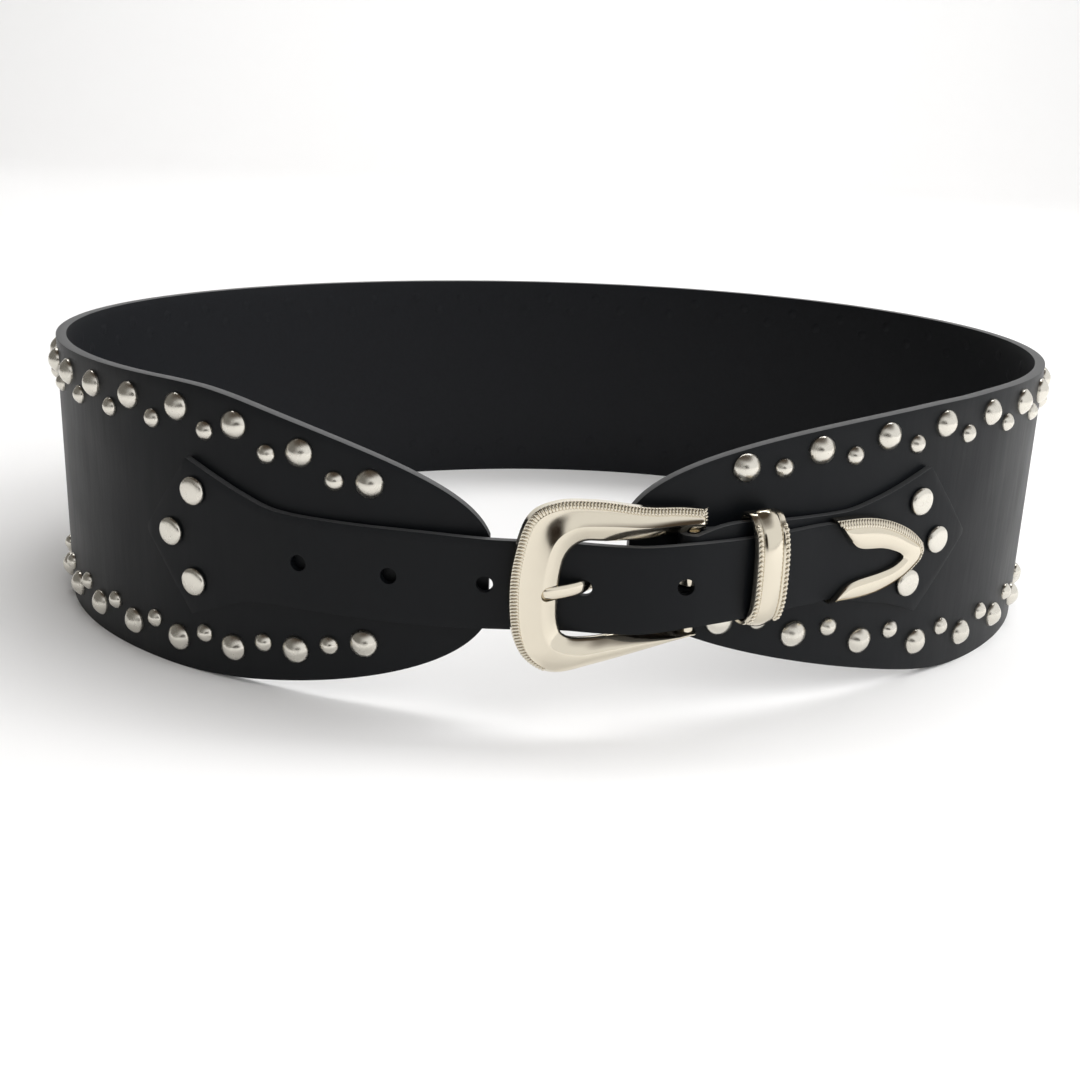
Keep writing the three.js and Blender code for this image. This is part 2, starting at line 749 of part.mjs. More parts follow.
function frameSection(width) {
  const rim = Math.min(frameRimWidth / width, frameRimLimit);
  return [
    { across: 0, depth: 0 },
    { across: 0, depth: frameRimDepth },
    { across: rim, depth: frameRimDepth },
    { across: rim, depth: frameGrooveDepth },
    { across: rim + (1 - rim) * frameCrestShare, depth: frameDepth },
    { across: 1, depth: frameLipDepth },
    { across: 1, depth: 0 },
  ];
}

function buckleFrame() {
  const stations = smoothStations(frameStations, 2);
  const rings = stations.map(({ outer, inner }) => {
    const outerHalf = outer.y > 0 ? frameTopHalf : frameBottomHalf;
    const from = new THREE.Vector2(outer.x * frameLength, outer.y * outerHalf);
    const to = new THREE.Vector2(inner.x * frameOpening, inner.y * openingHalf);
    return frameSection(from.distanceTo(to)).map(({ across, depth }) => {
      const point = from.clone().lerp(to, across);
      return inFrame(point.x, depth, point.y);
    });
  });
  const frame = toSolid(skin(rings));
  return frame.add(bar()).subtract(prongNotch());
}

function bar() {
  const radius = barDiameter / 2;
  const ends = frameStations.filter(({ outerAlong }) => outerAlong < 0);
  const levels = ends.map(({ innerHeight }) => innerHeight * openingHalf);
  const reach = [Math.min(...levels) - barBury, Math.max(...levels) + barBury];
  const rings = reach.map((height) =>
    Array.from({ length: barSides }, (_, side) => {
      const turn = (2 * Math.PI * side) / barSides;
      return inFrame(radius * Math.cos(turn), barDepth + radius * Math.sin(turn), height);
    }));
  return toSolid(skin(rings));
}

function prongNotch() {
  const half = prongWidth / 2 + 2 * fit;
  const at = prongLevelAt(prongReach - prongWidth) - frameMiddle;
  return frameBlock(
    [frameOpening / 2, prongReach + fit], [notchDepth, 2 * frameDepth], [at - half, at + half],
  );
}

// The tongue's middle line from the bar: how far along, and its depth in the frame
function prongPath() {
  const rest = notchDepth + fit + prongThickness / 2;
  const course = prongCourse.map(({ along, dip }) => ({
    along: along * prongHoleReach,
    depth: barDepth - dip * prongDip,
  }));
  return [
    ...course,
    { along: frameOpening - fit, depth: rest },
    { along: prongReach, depth: rest },
  ];
}

function buckleProng() {
  const half = prongWidth / 2;
  const rows = prongPath();
  const places = evenPlaces(rows[0].along, prongReach, prongStep);
  const depthAt = (along) => readTable(rows, along, 'depth');
  const rings = places.map((along) => {
    const level = prongLevelAt(along) - frameMiddle;
    const depth = depthAt(along);
    const fall = depthAt(along - slopeReach) - depthAt(along + slopeReach);
    const lean = new THREE.Vector2(fall, 2 * slopeReach).normalize();
    const front = (prongThickness / 2) * lean.y;
    const shift = (prongThickness / 2) * lean.x;
    const side = along > prongReach - fit ? half * prongTipShare : half;
    const flat = side * prongFlatShare;
    return [
      inFrame(along - shift, depth - front, level - flat),
      inFrame(along, depth, level - side),
      inFrame(along + shift, depth + front, level - flat),
      inFrame(along + shift, depth + front, level + flat),
      inFrame(along, depth, level + side),
      inFrame(along - shift, depth - front, level + flat),
    ];
  });
  return toSolid(skin(rings)).add(prongEye());
}

function prongEye() {
  const hollow = barDiameter / 2 + fit;
  const level = prongLevelAt(0) - frameMiddle;
  const rings = Array.from({ length: barSides }, (_, side) => {
    const turn = (2 * Math.PI * side) / barSides;
    const at = (radius, height) =>
      inFrame(radius * Math.cos(turn), barDepth + radius * Math.sin(turn), height);
    return [
      at(hollow, level - prongWidth / 2),
      at(hollow + prongEyeWall, level - prongWidth / 2),
      at(hollow + prongEyeWall, level + prongWidth / 2),
      at(hollow, level + prongWidth / 2),
    ];
  });
  return toSolid(skin(rings, true));
}

// Keeper loop: lies square to the straps where they slope down from the bar

function keeperLoop() {
  const stackAt = (place) => onPlan(place, buckleStrapOffset(place) + layerStep / 2);
  const centre = stackAt(keeperPlace);
  const along = stackAt(keeperPlace + keeperWidth / 2).sub(stackAt(keeperPlace - keeperWidth / 2));
  along.normalize();
  const outward = new THREE.Vector2(along.y, -along.x);
  const level = (buckleStrapEdges(keeperPlace).high + tipStrapEdges(keeperPlace).low) / 2;
  const stackHalf = strapThickness + fit / 2;
  const section = [
    { across: -0.5, wall: 0 },
    { across: -0.5, wall: keeperWall + keeperRimDepth },
    { across: keeperRimWidth / keeperWidth - 0.5, wall: keeperWall + keeperRimDepth },
    { across: keeperRimWidth / keeperWidth - 0.5, wall: keeperWall },
    { across: 0.5 - keeperRimWidth / keeperWidth, wall: keeperWall },
    { across: 0.5 - keeperRimWidth / keeperWidth, wall: keeperWall + keeperRimDepth },
    { across: 0.5, wall: keeperWall + keeperRimDepth },
    { across: 0.5, wall: 0 },
  ];
  const rings = Array.from({ length: keeperSteps }, (_, step) => {
    const turn = (2 * Math.PI * step) / keeperSteps;
    const front = Math.cos(turn) > 0;
    const reach = stackHalf + (front ? keeperFrontSlack : keeperSlack);
    const blunt = front ? keeperRoundness : keeperFlatness;
    const side = Math.sign(Math.cos(turn)) * Math.abs(Math.cos(turn)) ** blunt;
    const rise = Math.sign(Math.sin(turn)) * Math.abs(Math.sin(turn)) ** keeperSquareness;
    return section.map(({ across, wall }) => {
      const domed = wall + keeperBulge * (1 - rise ** keeperShoulder);
      const thin = front ? domed : Math.min(wall, keeperWall);
      const depth = side * reach + Math.cos(turn) * (wall > 0 ? thin : 0);
      const height = rise * keeperHalfHeight + Math.sin(turn) * wall;
      const point = centre.clone().addScaledVector(along, across * keeperWidth);
      point.addScaledVector(outward, depth);
      return new THREE.Vector3(point.x, point.y, level + height);
    });
  });
  return toSolid(skin(rings, true));
}

// Metal tip: a V that caps the strap's end, its outer wall reaching behind the strap's edge

function strapTip() {
  const rings = smoothStations(tipStations, 2).map(({ outer, inner }) => {
    const back = outer.x * tipLength;
    const outerHalf = outer.y < 0 ? -tipArchHalf(back) : tipArchHalf(back);
    const from = new THREE.Vector2(tipApex - back, outerHalf);
    const to = new THREE.Vector2(tipApex - inner.x * tipLength, inner.y * tipHalfHeight);
    const width = from.distanceTo(to);
    const edge = Math.min(tipWall / width, tipEdgeLimit);
    const rim = Math.min(tipRimWidth / width, tipRimLimit);
    const under = strapThickness / 2 + fit;
    return [
      { across: 0, depth: -strapThickness / 2 },
      { across: 0, depth: under + tipRimDepth },
      { across: rim, depth: under + tipRimDepth },
      { across: rim + (1 - rim) * tipPlateShare, depth: under + tipPlate },
      { across: 1, depth: under + tipLipDepth },
      { across: 1, depth: under },
      { across: edge, depth: under },
      { across: edge, depth: -strapThickness / 2 },
    ].map(({ across, depth }) => {
      const point = from.clone().lerp(to, across);
      return inSpace(point.x, tipStrapOffset(point.x) + depth, tipStrapMiddle(point.x) + point.y);
    });
  });
  return toSolid(skin(rings));
}

// Rivets

function rivetPlacesInSpace() {
  return rivetPlaces.map(({ name, strap, back, up }) => {
    const left = strap === 'tip';
    const setback = back * rivetSetback;
    const place = left ? tipStrapRoot + setback : buckleStrapRoot - setback;
    const centre = left ? tipStrapMiddle(place) : buckleStrapMiddle(place);
    return { name, strap, place, level: centre + up * rivetRise };
  });
}

function rivet({ place, level }) {
  const head = strapSeat + strapThickness / 2 + fit;
  const tail = -bandFace - 2 * fit;
  return turned([
    { radius: 0, height: tail - rivetBackThickness },
    { radius: rivetBackDiameter / 2, height: tail - rivetBackThickness },
    { radius: rivetBackDiameter / 2, height: tail },
    { radius: rivetShank / 2, height: tail },
    { radius: rivetShank / 2, height: head },
    { radius: rivetDiameter / 2, height: head },
    ...domeProfile(rivetDiameter / 2, head, rivetHeight),
  ], rivetSides, place, 0, level);
}

function rivetHole({ place, level }) {
  const length = 2 * (strapSeat + strapThickness);
  return punch({ diameter: rivetShank + 2 * fit, length, place, offset: 0, level });
}

// Assembly

function piece(name, solid, finish) {
  const mesh = new THREE.Mesh(toGeometry(solid), new THREE.MeshStandardMaterial(finish));
  mesh.name = name;
  return mesh;
}

const rivets = rivetPlacesInSpace();
const leftHoles = rivets.filter(({ strap }) => strap === 'tip').map(rivetHole);
const rightHoles = rivets.filter(({ strap }) => strap === 'buckle').map(rivetHole);

const belt = new THREE.Group();
belt.add(piece('waist_band', waistBand([...leftHoles, ...rightHoles]), blackLeather));
belt.add(piece('tip_strap', tipStrap(leftHoles), blackLeather));
belt.add(piece('buckle_strap', buckleStrap(rightHoles), blackLeather));
belt.add(piece('buckle_frame', buckleFrame(), warmNickel));
belt.add(piece('buckle_prong', buckleProng(), warmNickel));
belt.add(piece('keeper_loop', keeperLoop(), warmNickel));
belt.add(piece('strap_tip', strapTip(), warmNickel));
for (const place of rivets) {
  belt.add(piece(place.name, rivet(place), whiteNickel));
}

export default belt;
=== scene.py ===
import math

import bpy
import numpy as np
from mathutils import Matrix, Vector


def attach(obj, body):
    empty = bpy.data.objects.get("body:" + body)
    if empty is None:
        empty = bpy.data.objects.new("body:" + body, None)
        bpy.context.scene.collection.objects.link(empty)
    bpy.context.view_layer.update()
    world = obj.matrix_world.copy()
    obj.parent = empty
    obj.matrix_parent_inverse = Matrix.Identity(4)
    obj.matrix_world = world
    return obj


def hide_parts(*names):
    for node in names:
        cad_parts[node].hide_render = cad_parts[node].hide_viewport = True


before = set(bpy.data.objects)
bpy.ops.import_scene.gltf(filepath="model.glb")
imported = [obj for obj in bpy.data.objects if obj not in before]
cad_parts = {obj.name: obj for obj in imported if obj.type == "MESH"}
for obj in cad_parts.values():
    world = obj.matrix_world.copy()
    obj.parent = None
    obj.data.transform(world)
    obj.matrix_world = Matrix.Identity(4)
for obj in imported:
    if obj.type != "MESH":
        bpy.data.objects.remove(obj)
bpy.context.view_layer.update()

bl_info = {
    "name": "Studded waist belt",
    "version": (1, 0, 0),
    "blender": (4, 5, 0),
    "location": "3D View > Sidebar > Belt",
    "description": "Dresses a packed waist belt in leather, dome studs and cast nickel fittings",
    "category": "Object",
}

# Shapes are worked out in millimetres and become metres when a mesh is made
MM = 0.001

# The oval the band follows, as the solids have it
OVAL_HALF_LENGTH = 153.6
OVAL_HALF_DEPTH = 124.4
OVAL_LEAN = 5.5
OVAL_PINCH = -1.0
OVAL_MIDDLE = (0.2, 3.2)

BAND_HEIGHT = 80.0
LEFT_END, RIGHT_END = -9.6, 25.0
LEFT_TAPER, RIGHT_TAPER = 78.9, 105.0
LEFT_DROP, RIGHT_LIFT = 2.9, 4.6
TAPER_BLUNTNESS = 0.33
SHOULDER_SOFTNESS = 0.06
END_NOSE = 0.02

# Rows of studs: edge, side, first big stud, pitches to the middle of the back, then the big
# and the small studs' inset from the edge, each with its change at the band's tip
STUD_ROWS = (
    ("upper", -1, -39.7, 21.5, (6.5, 1.0), (11.5, -0.8)),
    ("upper", 1, 54.1, 18.5, (5.9, -1.2), (10.6, -3.1)),
    ("lower", -1, -41.4, 21.0, (8.2, 1.2), (12.2, -2.4)),
    ("lower", 1, 50.0, 18.0, (9.1, -2.3), (13.4, -3.8)),
)
TIP_EASE = 0.6
BIG_STUD_HEIGHT, SMALL_STUD_HEIGHT, STUD_SINK = 2.8, 2.1, 0.5
# Where a stud's dome is measured out, as shares of its radius
DOME_SHARES = (0.98, 0.86, 0.7, 0.5, 0.27, 0)
# The mark that a stud's prongs leave inside: radius and height
MARK_PROFILE = ((0, -0.3), (1.9, -0.3), (1.9, 0.02), (1.3, 0.18), (0, 0.24))

FIT = 0.3
TIP_ROOT, TIP_APEX = -106.0, 107.5
BUCKLE_ROOT, BAR_PLACE = 127.0, 40.0
TIP_HALF_WIDTH, BUCKLE_HALF_WIDTH = 12.3, 12.0
TIP_DROP, BUCKLE_RISE = 2.2, 2.3
FOLD_TAIL = 9.0
# The straps' edges are rounded less than the band's
STRAP_ROUND_SHARE = 0.6
# Strap outlines from the root: share of the reach, half width and middle as shares
TIP_OUTLINE = (
    (0, 0.06, 0.5), (0.07, 1.75, 0.4), (0.118, 1.4, 0.45), (0.15, 1.18, 0.5),
    (0.19, 1.03, 0.95), (0.25, 1, 1.2), (0.38, 0.99, 1.38), (0.46, 0.95, 1.42),
    (0.62, 0.92, 1.12), (0.68, 0.88, 0.45), (0.78, 0.85, 0), (0.86, 0.84, -0.45), (1, 0.84, -0.4),
)
BUCKLE_OUTLINE = (
    (0, 0.06, 0.9), (0.19, 1.7, 0.95), (0.31, 1.36, 0.85), (0.4, 1.18, 0.6), (0.5, 1.02, 0.5),
    (0.7, 1, 0.45), (0.86, 0.99, 0.85), (0.93, 0.94, 0.85), (1, 0.83, 0.54),
)
# How high the straps ride over the band, as shares
BUCKLE_FALL = (
    (0, 1), (0.09, 0.84), (0.14, 0.7), (0.19, 0.56), (0.25, 0.4), (0.32, 0.24),
    (0.41, 0.07), (0.55, 0), (1, 0),
)
TIP_DIVE = (
    (0, 1), (0.09, 0.99), (0.27, 0.88), (0.41, 0.7), (0.55, 0.46), (0.64, 0.3),
    (0.74, 0.24), (1, 0.2), (1.6, 0.08), (2.3, 0), (4, 0),
)
HOLE_PITCH = 23.8
HOLE_DIAMETER = 4.3
PRONG_HOLE_REACH = 26.6
PRONG_HOLE_PLACE = BAR_PLACE - PRONG_HOLE_REACH
HOLE_STEPS = (-3, -2, -1, 0, 1)
PRONG_HOLE_SHIFT, PRONG_HOLE_DROP = 0.3, 0.5

FRAME_LENGTH, FRAME_OPENING = 46.6, 34.3
FRAME_LEVEL = -2.3
FRAME_TOP_HALF, FRAME_BOTTOM_HALF, OPENING_HALF = 22.7, 22.0, 13.7
FRAME_DEPTH, RIM_DEPTH, LIP_DEPTH = 4.0, 3.0, 1.5
# How wide the corded rims of the frame and the metal tip are
FRAME_CORD_WIDTH, TIP_CORD_WIDTH = 2.1, 2.3
BAR_DIAMETER, BAR_DEPTH = 3.0, 1.6
NOTCH_DEPTH = 0.9
LIP_SHARE = 0.83
# Round the horseshoe: outer and inner edge as shares, crest across the section, cord's roll
FRAME_STATIONS = (
    (-0.035, 0.86, -0.05, 1.0, 0.58, 0.15),
    (0.09, 0.885, 0.14, 0.96, 0.58, 0.2),
    (0.28, 0.9, 0.36, 0.885, 0.57, 0.2),
    (0.54, 0.985, 0.64, 0.875, 0.57, 0.1),
    (0.76, 0.99, 0.83, 0.885, 0.6, 0.05),
    (0.91, 0.83, 0.945, 0.655, 0.62, 0),
    (0.985, 0.35, 0.988, 0.235, 0.62, 0),
    (1, -0.09, 1, -0.22, 0.62, 0.05),
    (0.972, -0.54, 0.988, -0.68, 0.62, 0.3),
    (0.892, -0.835, 0.918, -0.92, 0.6, 0.65),
    (0.74, -1, 0.743, -0.96, 0.58, 0.9),
    (0.54, -0.936, 0.57, -0.92, 0.56, 1),
    (0.28, -0.81, 0.35, -0.9, 0.55, 1),
    (0.086, -0.7, 0.13, -0.9, 0.52, 1),
    (-0.017, -0.645, -0.035, -0.9, 0.5, 1),
)
PRONG_WIDTH, PRONG_THICKNESS, PRONG_REACH = 3.4, 1.6, 39.0
PRONG_LEVEL, PRONG_SLOPE, PRONG_DIP, PRONG_EYE = 2.0, 0.07, 3.5, 1.6
PRONG_COURSE = ((0.1, 0), (0.4, 0.4), (0.8, 0.97), (0.9, 1), (0.98, 0.78), (1.07, 0.25))

KEEPER_PLACE, KEEPER_WIDTH, KEEPER_HALF_HEIGHT = BAR_PLACE + 17.3, 9.4, 13.8
KEEPER_SLACK, KEEPER_FRONT_SLACK, KEEPER_BULGE, KEEPER_RIM = 0.75, 2.1, 0.6, 1.4
# How round it is, as powers of the turn: its depth behind and in front, then its height
# behind, in front below and in front above
KEEPER_DEPTH_POWERS, KEEPER_HEIGHT_POWERS = (0.25, 0.95), (0.5, 0.6, 0.8)
# How far round from the front's middle its rims reach below and above, in radians
KEEPER_FADE = (1.1, 1.02)

TIP_LENGTH, TIP_HALF_HEIGHT, TIP_ARCH, TIP_ARCH_POWER = 29.8, 11.3, 24.0, 0.75
TIP_BLUNT = 0.7
TIP_WALL = 0.8
# Round the metal tip: distance back and height of its outer and inner edge, as shares
TIP_STATIONS = (
    (1, 1, 0.955, 0.84), (0.87, 1, 0.84, 0.48), (0.74, 1, 0.73, 0.28), (0.54, 0.94, 0.5, 0.22),
    (0.27, 0.65, 0.34, 0.09), (0.08, 0.26, 0.27, -0.02), (0, 0, 0.258, -0.09),
    (0.08, -0.26, 0.28, -0.17), (0.27, -0.65, 0.37, -0.3), (0.54, -0.94, 0.52, -0.4),
    (0.74, -1, 0.74, -0.5), (0.87, -1, 0.85, -0.62), (1, -1, 0.955, -0.88),
)
RIVET_SHANK, RIVET_BACK, RIVET_BACK_HEIGHT = 1.3, 3.0, 0.8
# Rivets: name, strap, distance back from the root, height over the strap's middle
RIVETS = (
    ("rivet_left_upper", "tip", 17.3, 13.1), ("rivet_left_middle", "tip", 9.3, 0.7),
    ("rivet_left_lower", "tip", 16.5, -12.0), ("rivet_right_upper", "buckle", 19.5, 11.4),
    ("rivet_right_middle", "buckle", 11.6, -0.4), ("rivet_right_lower", "buckle", 21.1, -11.3),
)

# The room, in metres: what the softboxes face, and where metal sees the dark opening
BELT_AIM, SWEEP_AIM = (0, 0, 0.04), (0, 2.6, 0.4)
OPENING_WAY = (0.12, -0.98, 0.06)
# Softboxes: name, place, width and height, watts, whether metal mirrors them
SOFT_BOXES = (
    ("top_softbox", (0.55, -0.1, 1.1), (1.6, 1.4), 10, False),
    ("right_softbox", (1.1, -0.5, 0.5), (2.2, 1.8), 17, False),
    ("sweep_softbox", (0, 1.2, 2.6), (3.0, 1.5), 60, True),
)
# The paper's half width, where it begins to rise and how round it does, in millimetres
SWEEP_HALF, SWEEP_START, SWEEP_RADIUS = 3500, 2300, 1200
# The camera: place in metres, turn to the side, down and over in degrees, and its focal
# length as a share of the picture's width
CAMERA_PLACE, CAMERA_TURNS = (0.0190, -0.4421, 0.1514), (-2.84, 17.89, 2.15)
FOCAL_SHARE, SENSOR = 1359 / 1080, 36.0


# The oval and the ways along it

def oval_points(steps=1440):
    turn = np.linspace(-0.5 * np.pi, 1.5 * np.pi, steps + 1)
    flat = np.stack([OVAL_HALF_LENGTH * np.cos(turn), OVAL_HALF_DEPTH * np.sin(turn)], 1)
    away = np.stack([np.cos(turn) / OVAL_HALF_LENGTH, np.sin(turn) / OVAL_HALF_DEPTH], 1)
    away /= np.linalg.norm(away, axis=1)[:, None]
    lean = OVAL_LEAN * np.sin(2 * turn) + OVAL_PINCH * np.sin(3 * turn)
    return flat + away * lean[:, None] + OVAL_MIDDLE


def lengths_along(points):
    return np.r_[0, np.cumsum(np.linalg.norm(np.diff(points, axis=0), axis=1))]


RING = oval_points()
RING_LENGTHS = lengths_along(RING)
RING_LENGTH = RING_LENGTHS[-1]
_slope = np.gradient(np.r_[RING[-5:-1], RING, RING[1:5]], axis=0)[4:-4]
RING_ALONG = _slope / np.linalg.norm(_slope, axis=1)[:, None]


def down_line(at, lengths, rows):
    """Points or ways along a line, read off at lengths down it."""
    return np.stack([np.interp(at, lengths, column) for column in rows.T], -1)


def along_at(place):
    way = down_line(np.mod(place, RING_LENGTH), RING_LENGTHS, RING_ALONG)
    return way / np.linalg.norm(way, axis=-1, keepdims=True)


def outward_at(place):
    way = along_at(place)
    return np.stack([way[..., 1], -way[..., 0]], -1)


def on_oval(place, offset=0.0):
    """Points of the plan at places along the belt, so far out of the band's wall."""
    point = down_line(np.mod(place, RING_LENGTH), RING_LENGTHS, RING)
    return point + outward_at(place) * np.expand_dims(offset, -1)


def read_table(rows, at, column=1):
    """A smooth reading of one column of a table at given places."""
    rows = np.array(rows, float)
    x, y = rows[:, 0], rows[:, column]
    before, after = np.r_[x[:1], x[:-1]], np.r_[x[1:], x[-1:]]
    slope = (np.r_[y[1:], y[-1:]] - np.r_[y[:1], y[:-1]]) / (after - before)
    row = np.clip(np.searchsorted(x, at, side="left") - 1, 0, len(x) - 2)
    span = x[row + 1] - x[row]
    share = np.clip((at - x[row]) / span, 0, 1)
    square, cube = share**2, share**3
    return (
        (2 * cube - 3 * square + 1) * y[row] + (cube - 2 * square + share) * slope[row] * span
        + (3 * square - 2 * cube) * y[row + 1] + (cube - square) * slope[row + 1] * span
    )


def band_edges(place):
    """Lower and upper edge of the band: blunt tapered ends with soft shoulders."""
    place = np.where(place > RING_LENGTH / 2, place - RING_LENGTH, place)
    share = np.where(place < 0, (LEFT_END - place) / LEFT_TAPER, (place - RIGHT_END) / RIGHT_TAPER)
    share = np.maximum(share + END_NOSE, END_NOSE)
    taper = share**TAPER_BLUNTNESS
    blend = np.clip((1 - taper) / (2 * SHOULDER_SOFTNESS) + 0.5, 0, 1)
    half = BAND_HEIGHT / 2 * (1 + blend * (taper - 1) - SHOULDER_SOFTNESS * blend * (1 - blend))
    shift = np.where(place < 0, -LEFT_DROP, RIGHT_LIFT)
    middle = BAND_HEIGHT / 2 + shift * np.maximum(1 - share**2, 0) ** 1.3
    return np.maximum(middle - half, 0), np.minimum(middle + half, BAND_HEIGHT)


class Layers:
    """Where the leather layers lie, outwards from the middle of the band's wall."""

    def __init__(self, sizes):
        self.strap = sizes.strap_thickness / MM
        self.band = sizes.band_thickness / MM
        self.seat = self.band / 2 + FIT + self.strap / 2
        self.step = self.strap + 1.5 * FIT
        self.fold = BAR_DIAMETER / 2 + FIT + self.strap / 2
        self.bar = self.seat + self.fold
        self.origin = on_oval(np.array(BAR_PLACE), self.bar - BAR_DEPTH)
        lip_place = np.array(BAR_PLACE - FRAME_OPENING * LIP_SHARE)
        lip = on_oval(lip_place, self.tip_offset(lip_place) + self.strap / 2 + 2 * FIT)
        self.along = (lip - self.origin) / np.linalg.norm(lip - self.origin)
        self.outward = np.array([-self.along[1], self.along[0]])

    def buckle_offset(self, place):
        share = (place - BAR_PLACE) / (BUCKLE_ROOT - BAR_PLACE)
        return self.seat + 2 * self.fold * read_table(BUCKLE_FALL, share)

    def tip_offset(self, place):
        over = self.buckle_offset(np.maximum(place, BAR_PLACE)) + self.step
        share = (BAR_PLACE - place) / FRAME_LENGTH
        height = 2 * self.fold + self.step
        dive = self.seat + height * read_table(TIP_DIVE, share)
        return np.where(place >= BAR_PLACE, over, dive)

    def in_frame(self, along, depth, height):
        """Points given in the buckle frame's own plane, from the bar to the closed end."""
        along, depth, height = np.broadcast_arrays(along, depth, height)
        flat = self.origin + along[..., None] * self.along + depth[..., None] * self.outward
        level = BAND_HEIGHT / 2 + FRAME_LEVEL + height
        return np.concatenate([flat, level[..., None]], -1)


def strap_middle(place, strap):
    if strap == "tip":
        share = (place - TIP_ROOT) / (TIP_APEX - TIP_ROOT)
        return BAND_HEIGHT / 2 - TIP_DROP * read_table(TIP_OUTLINE, share, 2)
    share = (BUCKLE_ROOT - place) / (BUCKLE_ROOT - BAR_PLACE)
    return BAND_HEIGHT / 2 + BUCKLE_RISE * read_table(BUCKLE_OUTLINE, share, 2)


def strap_half(place, strap):
    """Half width of a strap, straight from the root's point to its corners."""
    if strap == "tip":
        rows, width = TIP_OUTLINE, TIP_HALF_WIDTH
        share = (place - TIP_ROOT) / (TIP_APEX - TIP_ROOT)
    else:
        rows, width = BUCKLE_OUTLINE, BUCKLE_HALF_WIDTH
        share = (BUCKLE_ROOT - place) / (BUCKLE_ROOT - BAR_PLACE)
    point = rows[0][1] + (rows[1][1] - rows[0][1]) * share / rows[1][0]
    return width * np.where(share < rows[1][0], point, read_table(rows[1:], share))


def arch_half(back):
    share = np.clip((back + TIP_BLUNT) / (TIP_ARCH + TIP_BLUNT), 0, 1)
    start = np.clip(back / TIP_BLUNT, 0, 1) ** 0.5
    return TIP_HALF_HEIGHT * start * (1 - (1 - share) ** 2) ** TIP_ARCH_POWER


def prong_level(along):
    return PRONG_LEVEL - PRONG_SLOPE * along


# Modelling by hand

def deselect():
    bpy.ops.object.select_all(action="DESELECT")


def take(piece):
    """Makes a piece the only one selected and the active one."""
    deselect()
    piece.select_set(True)
    bpy.context.view_layer.objects.active = piece


def edit(piece, *steps):
    """Runs edit mode steps on all of a piece, each given as an operator and its settings."""
    take(piece)
    bpy.ops.object.mode_set(mode="EDIT")
    bpy.ops.mesh.select_all(action="SELECT")
    for operator, settings in steps:
        operator(**settings)
    bpy.ops.object.mode_set(mode="OBJECT")


def modify(piece, kind, **settings):
    """Adds a modifier with its settings and applies it."""
    take(piece)
    modifier = piece.modifiers.new(kind.lower(), kind)
    for key, value in settings.items():
        setattr(modifier, key, value)
    bpy.ops.object.modifier_apply(modifier=modifier.name)


def combine(piece, tool, operation):
    """Adds a tool to a piece or takes it away, and removes the tool."""
    modify(piece, "BOOLEAN", object=tool, operation=operation, solver="EXACT")
    bpy.data.objects.remove(tool)


def mend(piece):
    """Merges doubles and turns all faces outwards."""
    edit(
        piece,
        (bpy.ops.mesh.remove_doubles, {"threshold": 0.002 * MM}),
        (bpy.ops.mesh.normals_make_consistent, {"inside": False}),
    )


def make_mesh(name, points, edges=(), faces=()):
    mesh = bpy.data.meshes.new(name)
    mesh.from_pydata([tuple(p) for p in np.asarray(points, float) * MM], edges, faces)
    piece = bpy.data.objects.new(name, mesh)
    bpy.context.scene.collection.objects.link(piece)
    return piece


def upright_plate(name, places, low, high, rows):
    """A grid stood upright and cut to an outline: one column a place, along X."""
    deselect()
    columns = len(places)
    bpy.ops.mesh.primitive_grid_add(
        x_subdivisions=columns - 1, y_subdivisions=rows, size=1, location=(0, 0, 0)
    )
    plate = bpy.context.object
    plate.name = plate.data.name = name
    grid = np.array([v.co for v in plate.data.vertices])
    column = np.rint((grid[:, 0] + 0.5) * (columns - 1)).astype(int)
    rise = grid[:, 1] + 0.5
    level = low[column] + (high - low)[column] * rise
    shaped = np.stack([places[column], np.zeros(len(grid)), level], 1) * MM
    plate.data.vertices.foreach_set("co", shaped.astype(np.float32).ravel())
    plate.data.update()
    return plate


def bend(piece, points):
    """Bends a piece that lies along X to a line in the plan."""
    line = bpy.data.curves.new("course", "CURVE")
    line.dimensions = "2D"
    spline = line.splines.new("POLY")
    spline.points.add(len(points) - 1)
    flat = np.c_[points * MM, np.zeros(len(points)), np.ones(len(points))]
    spline.points.foreach_set("co", flat.astype(np.float32).ravel())
    course = bpy.data.objects.new("course", line)
    bpy.context.scene.collection.objects.link(course)
    modify(piece, "CURVE", object=course, deform_axis="POS_X")
    bpy.data.objects.remove(course)


def turned(name, profile, sides):
    """A profile of radius and height spun once round Z."""
    points = [(radius, 0, height) for radius, height in profile]
    piece = make_mesh(name, points, [(k, k + 1) for k in range(len(points) - 1)])
    spin = {"steps": sides, "angle": 2 * math.pi, "center": (0, 0, 0), "axis": (0, 0, 1)}
    edit(piece, (bpy.ops.mesh.spin, spin))
    mend(piece)
    return piece


def loft(name, rings, closed=False):
    """A skin over a row of like loops, with ends capped unless the row closes on itself."""
    count, corners = rings.shape[:2]
    spans = count if closed else count - 1
    faces = []
    for ring in range(spans):
        start, beyond = ring * corners, (ring + 1) % count * corners
        for corner in range(corners):
            beside = (corner + 1) % corners
            faces.append((start + corner, start + beside, beyond + beside, beyond + corner))
    if not closed:
        faces.append(tuple(range(corners)))
        faces.append(tuple(range((count - 1) * corners, count * corners)))
    piece = make_mesh(name, rings.reshape(-1, 3), (), faces)
    mend(piece)
    return piece


def nose(ring, way, reach, steps=5):
    """Loops that round off a loft's end, out along one way."""
    turns = np.linspace(0, 0.48 * np.pi, steps + 1)[1:]
    middle = ring.mean(0)
    return [middle + (ring - middle) * math.cos(t) + way * reach * math.sin(t) for t in turns]


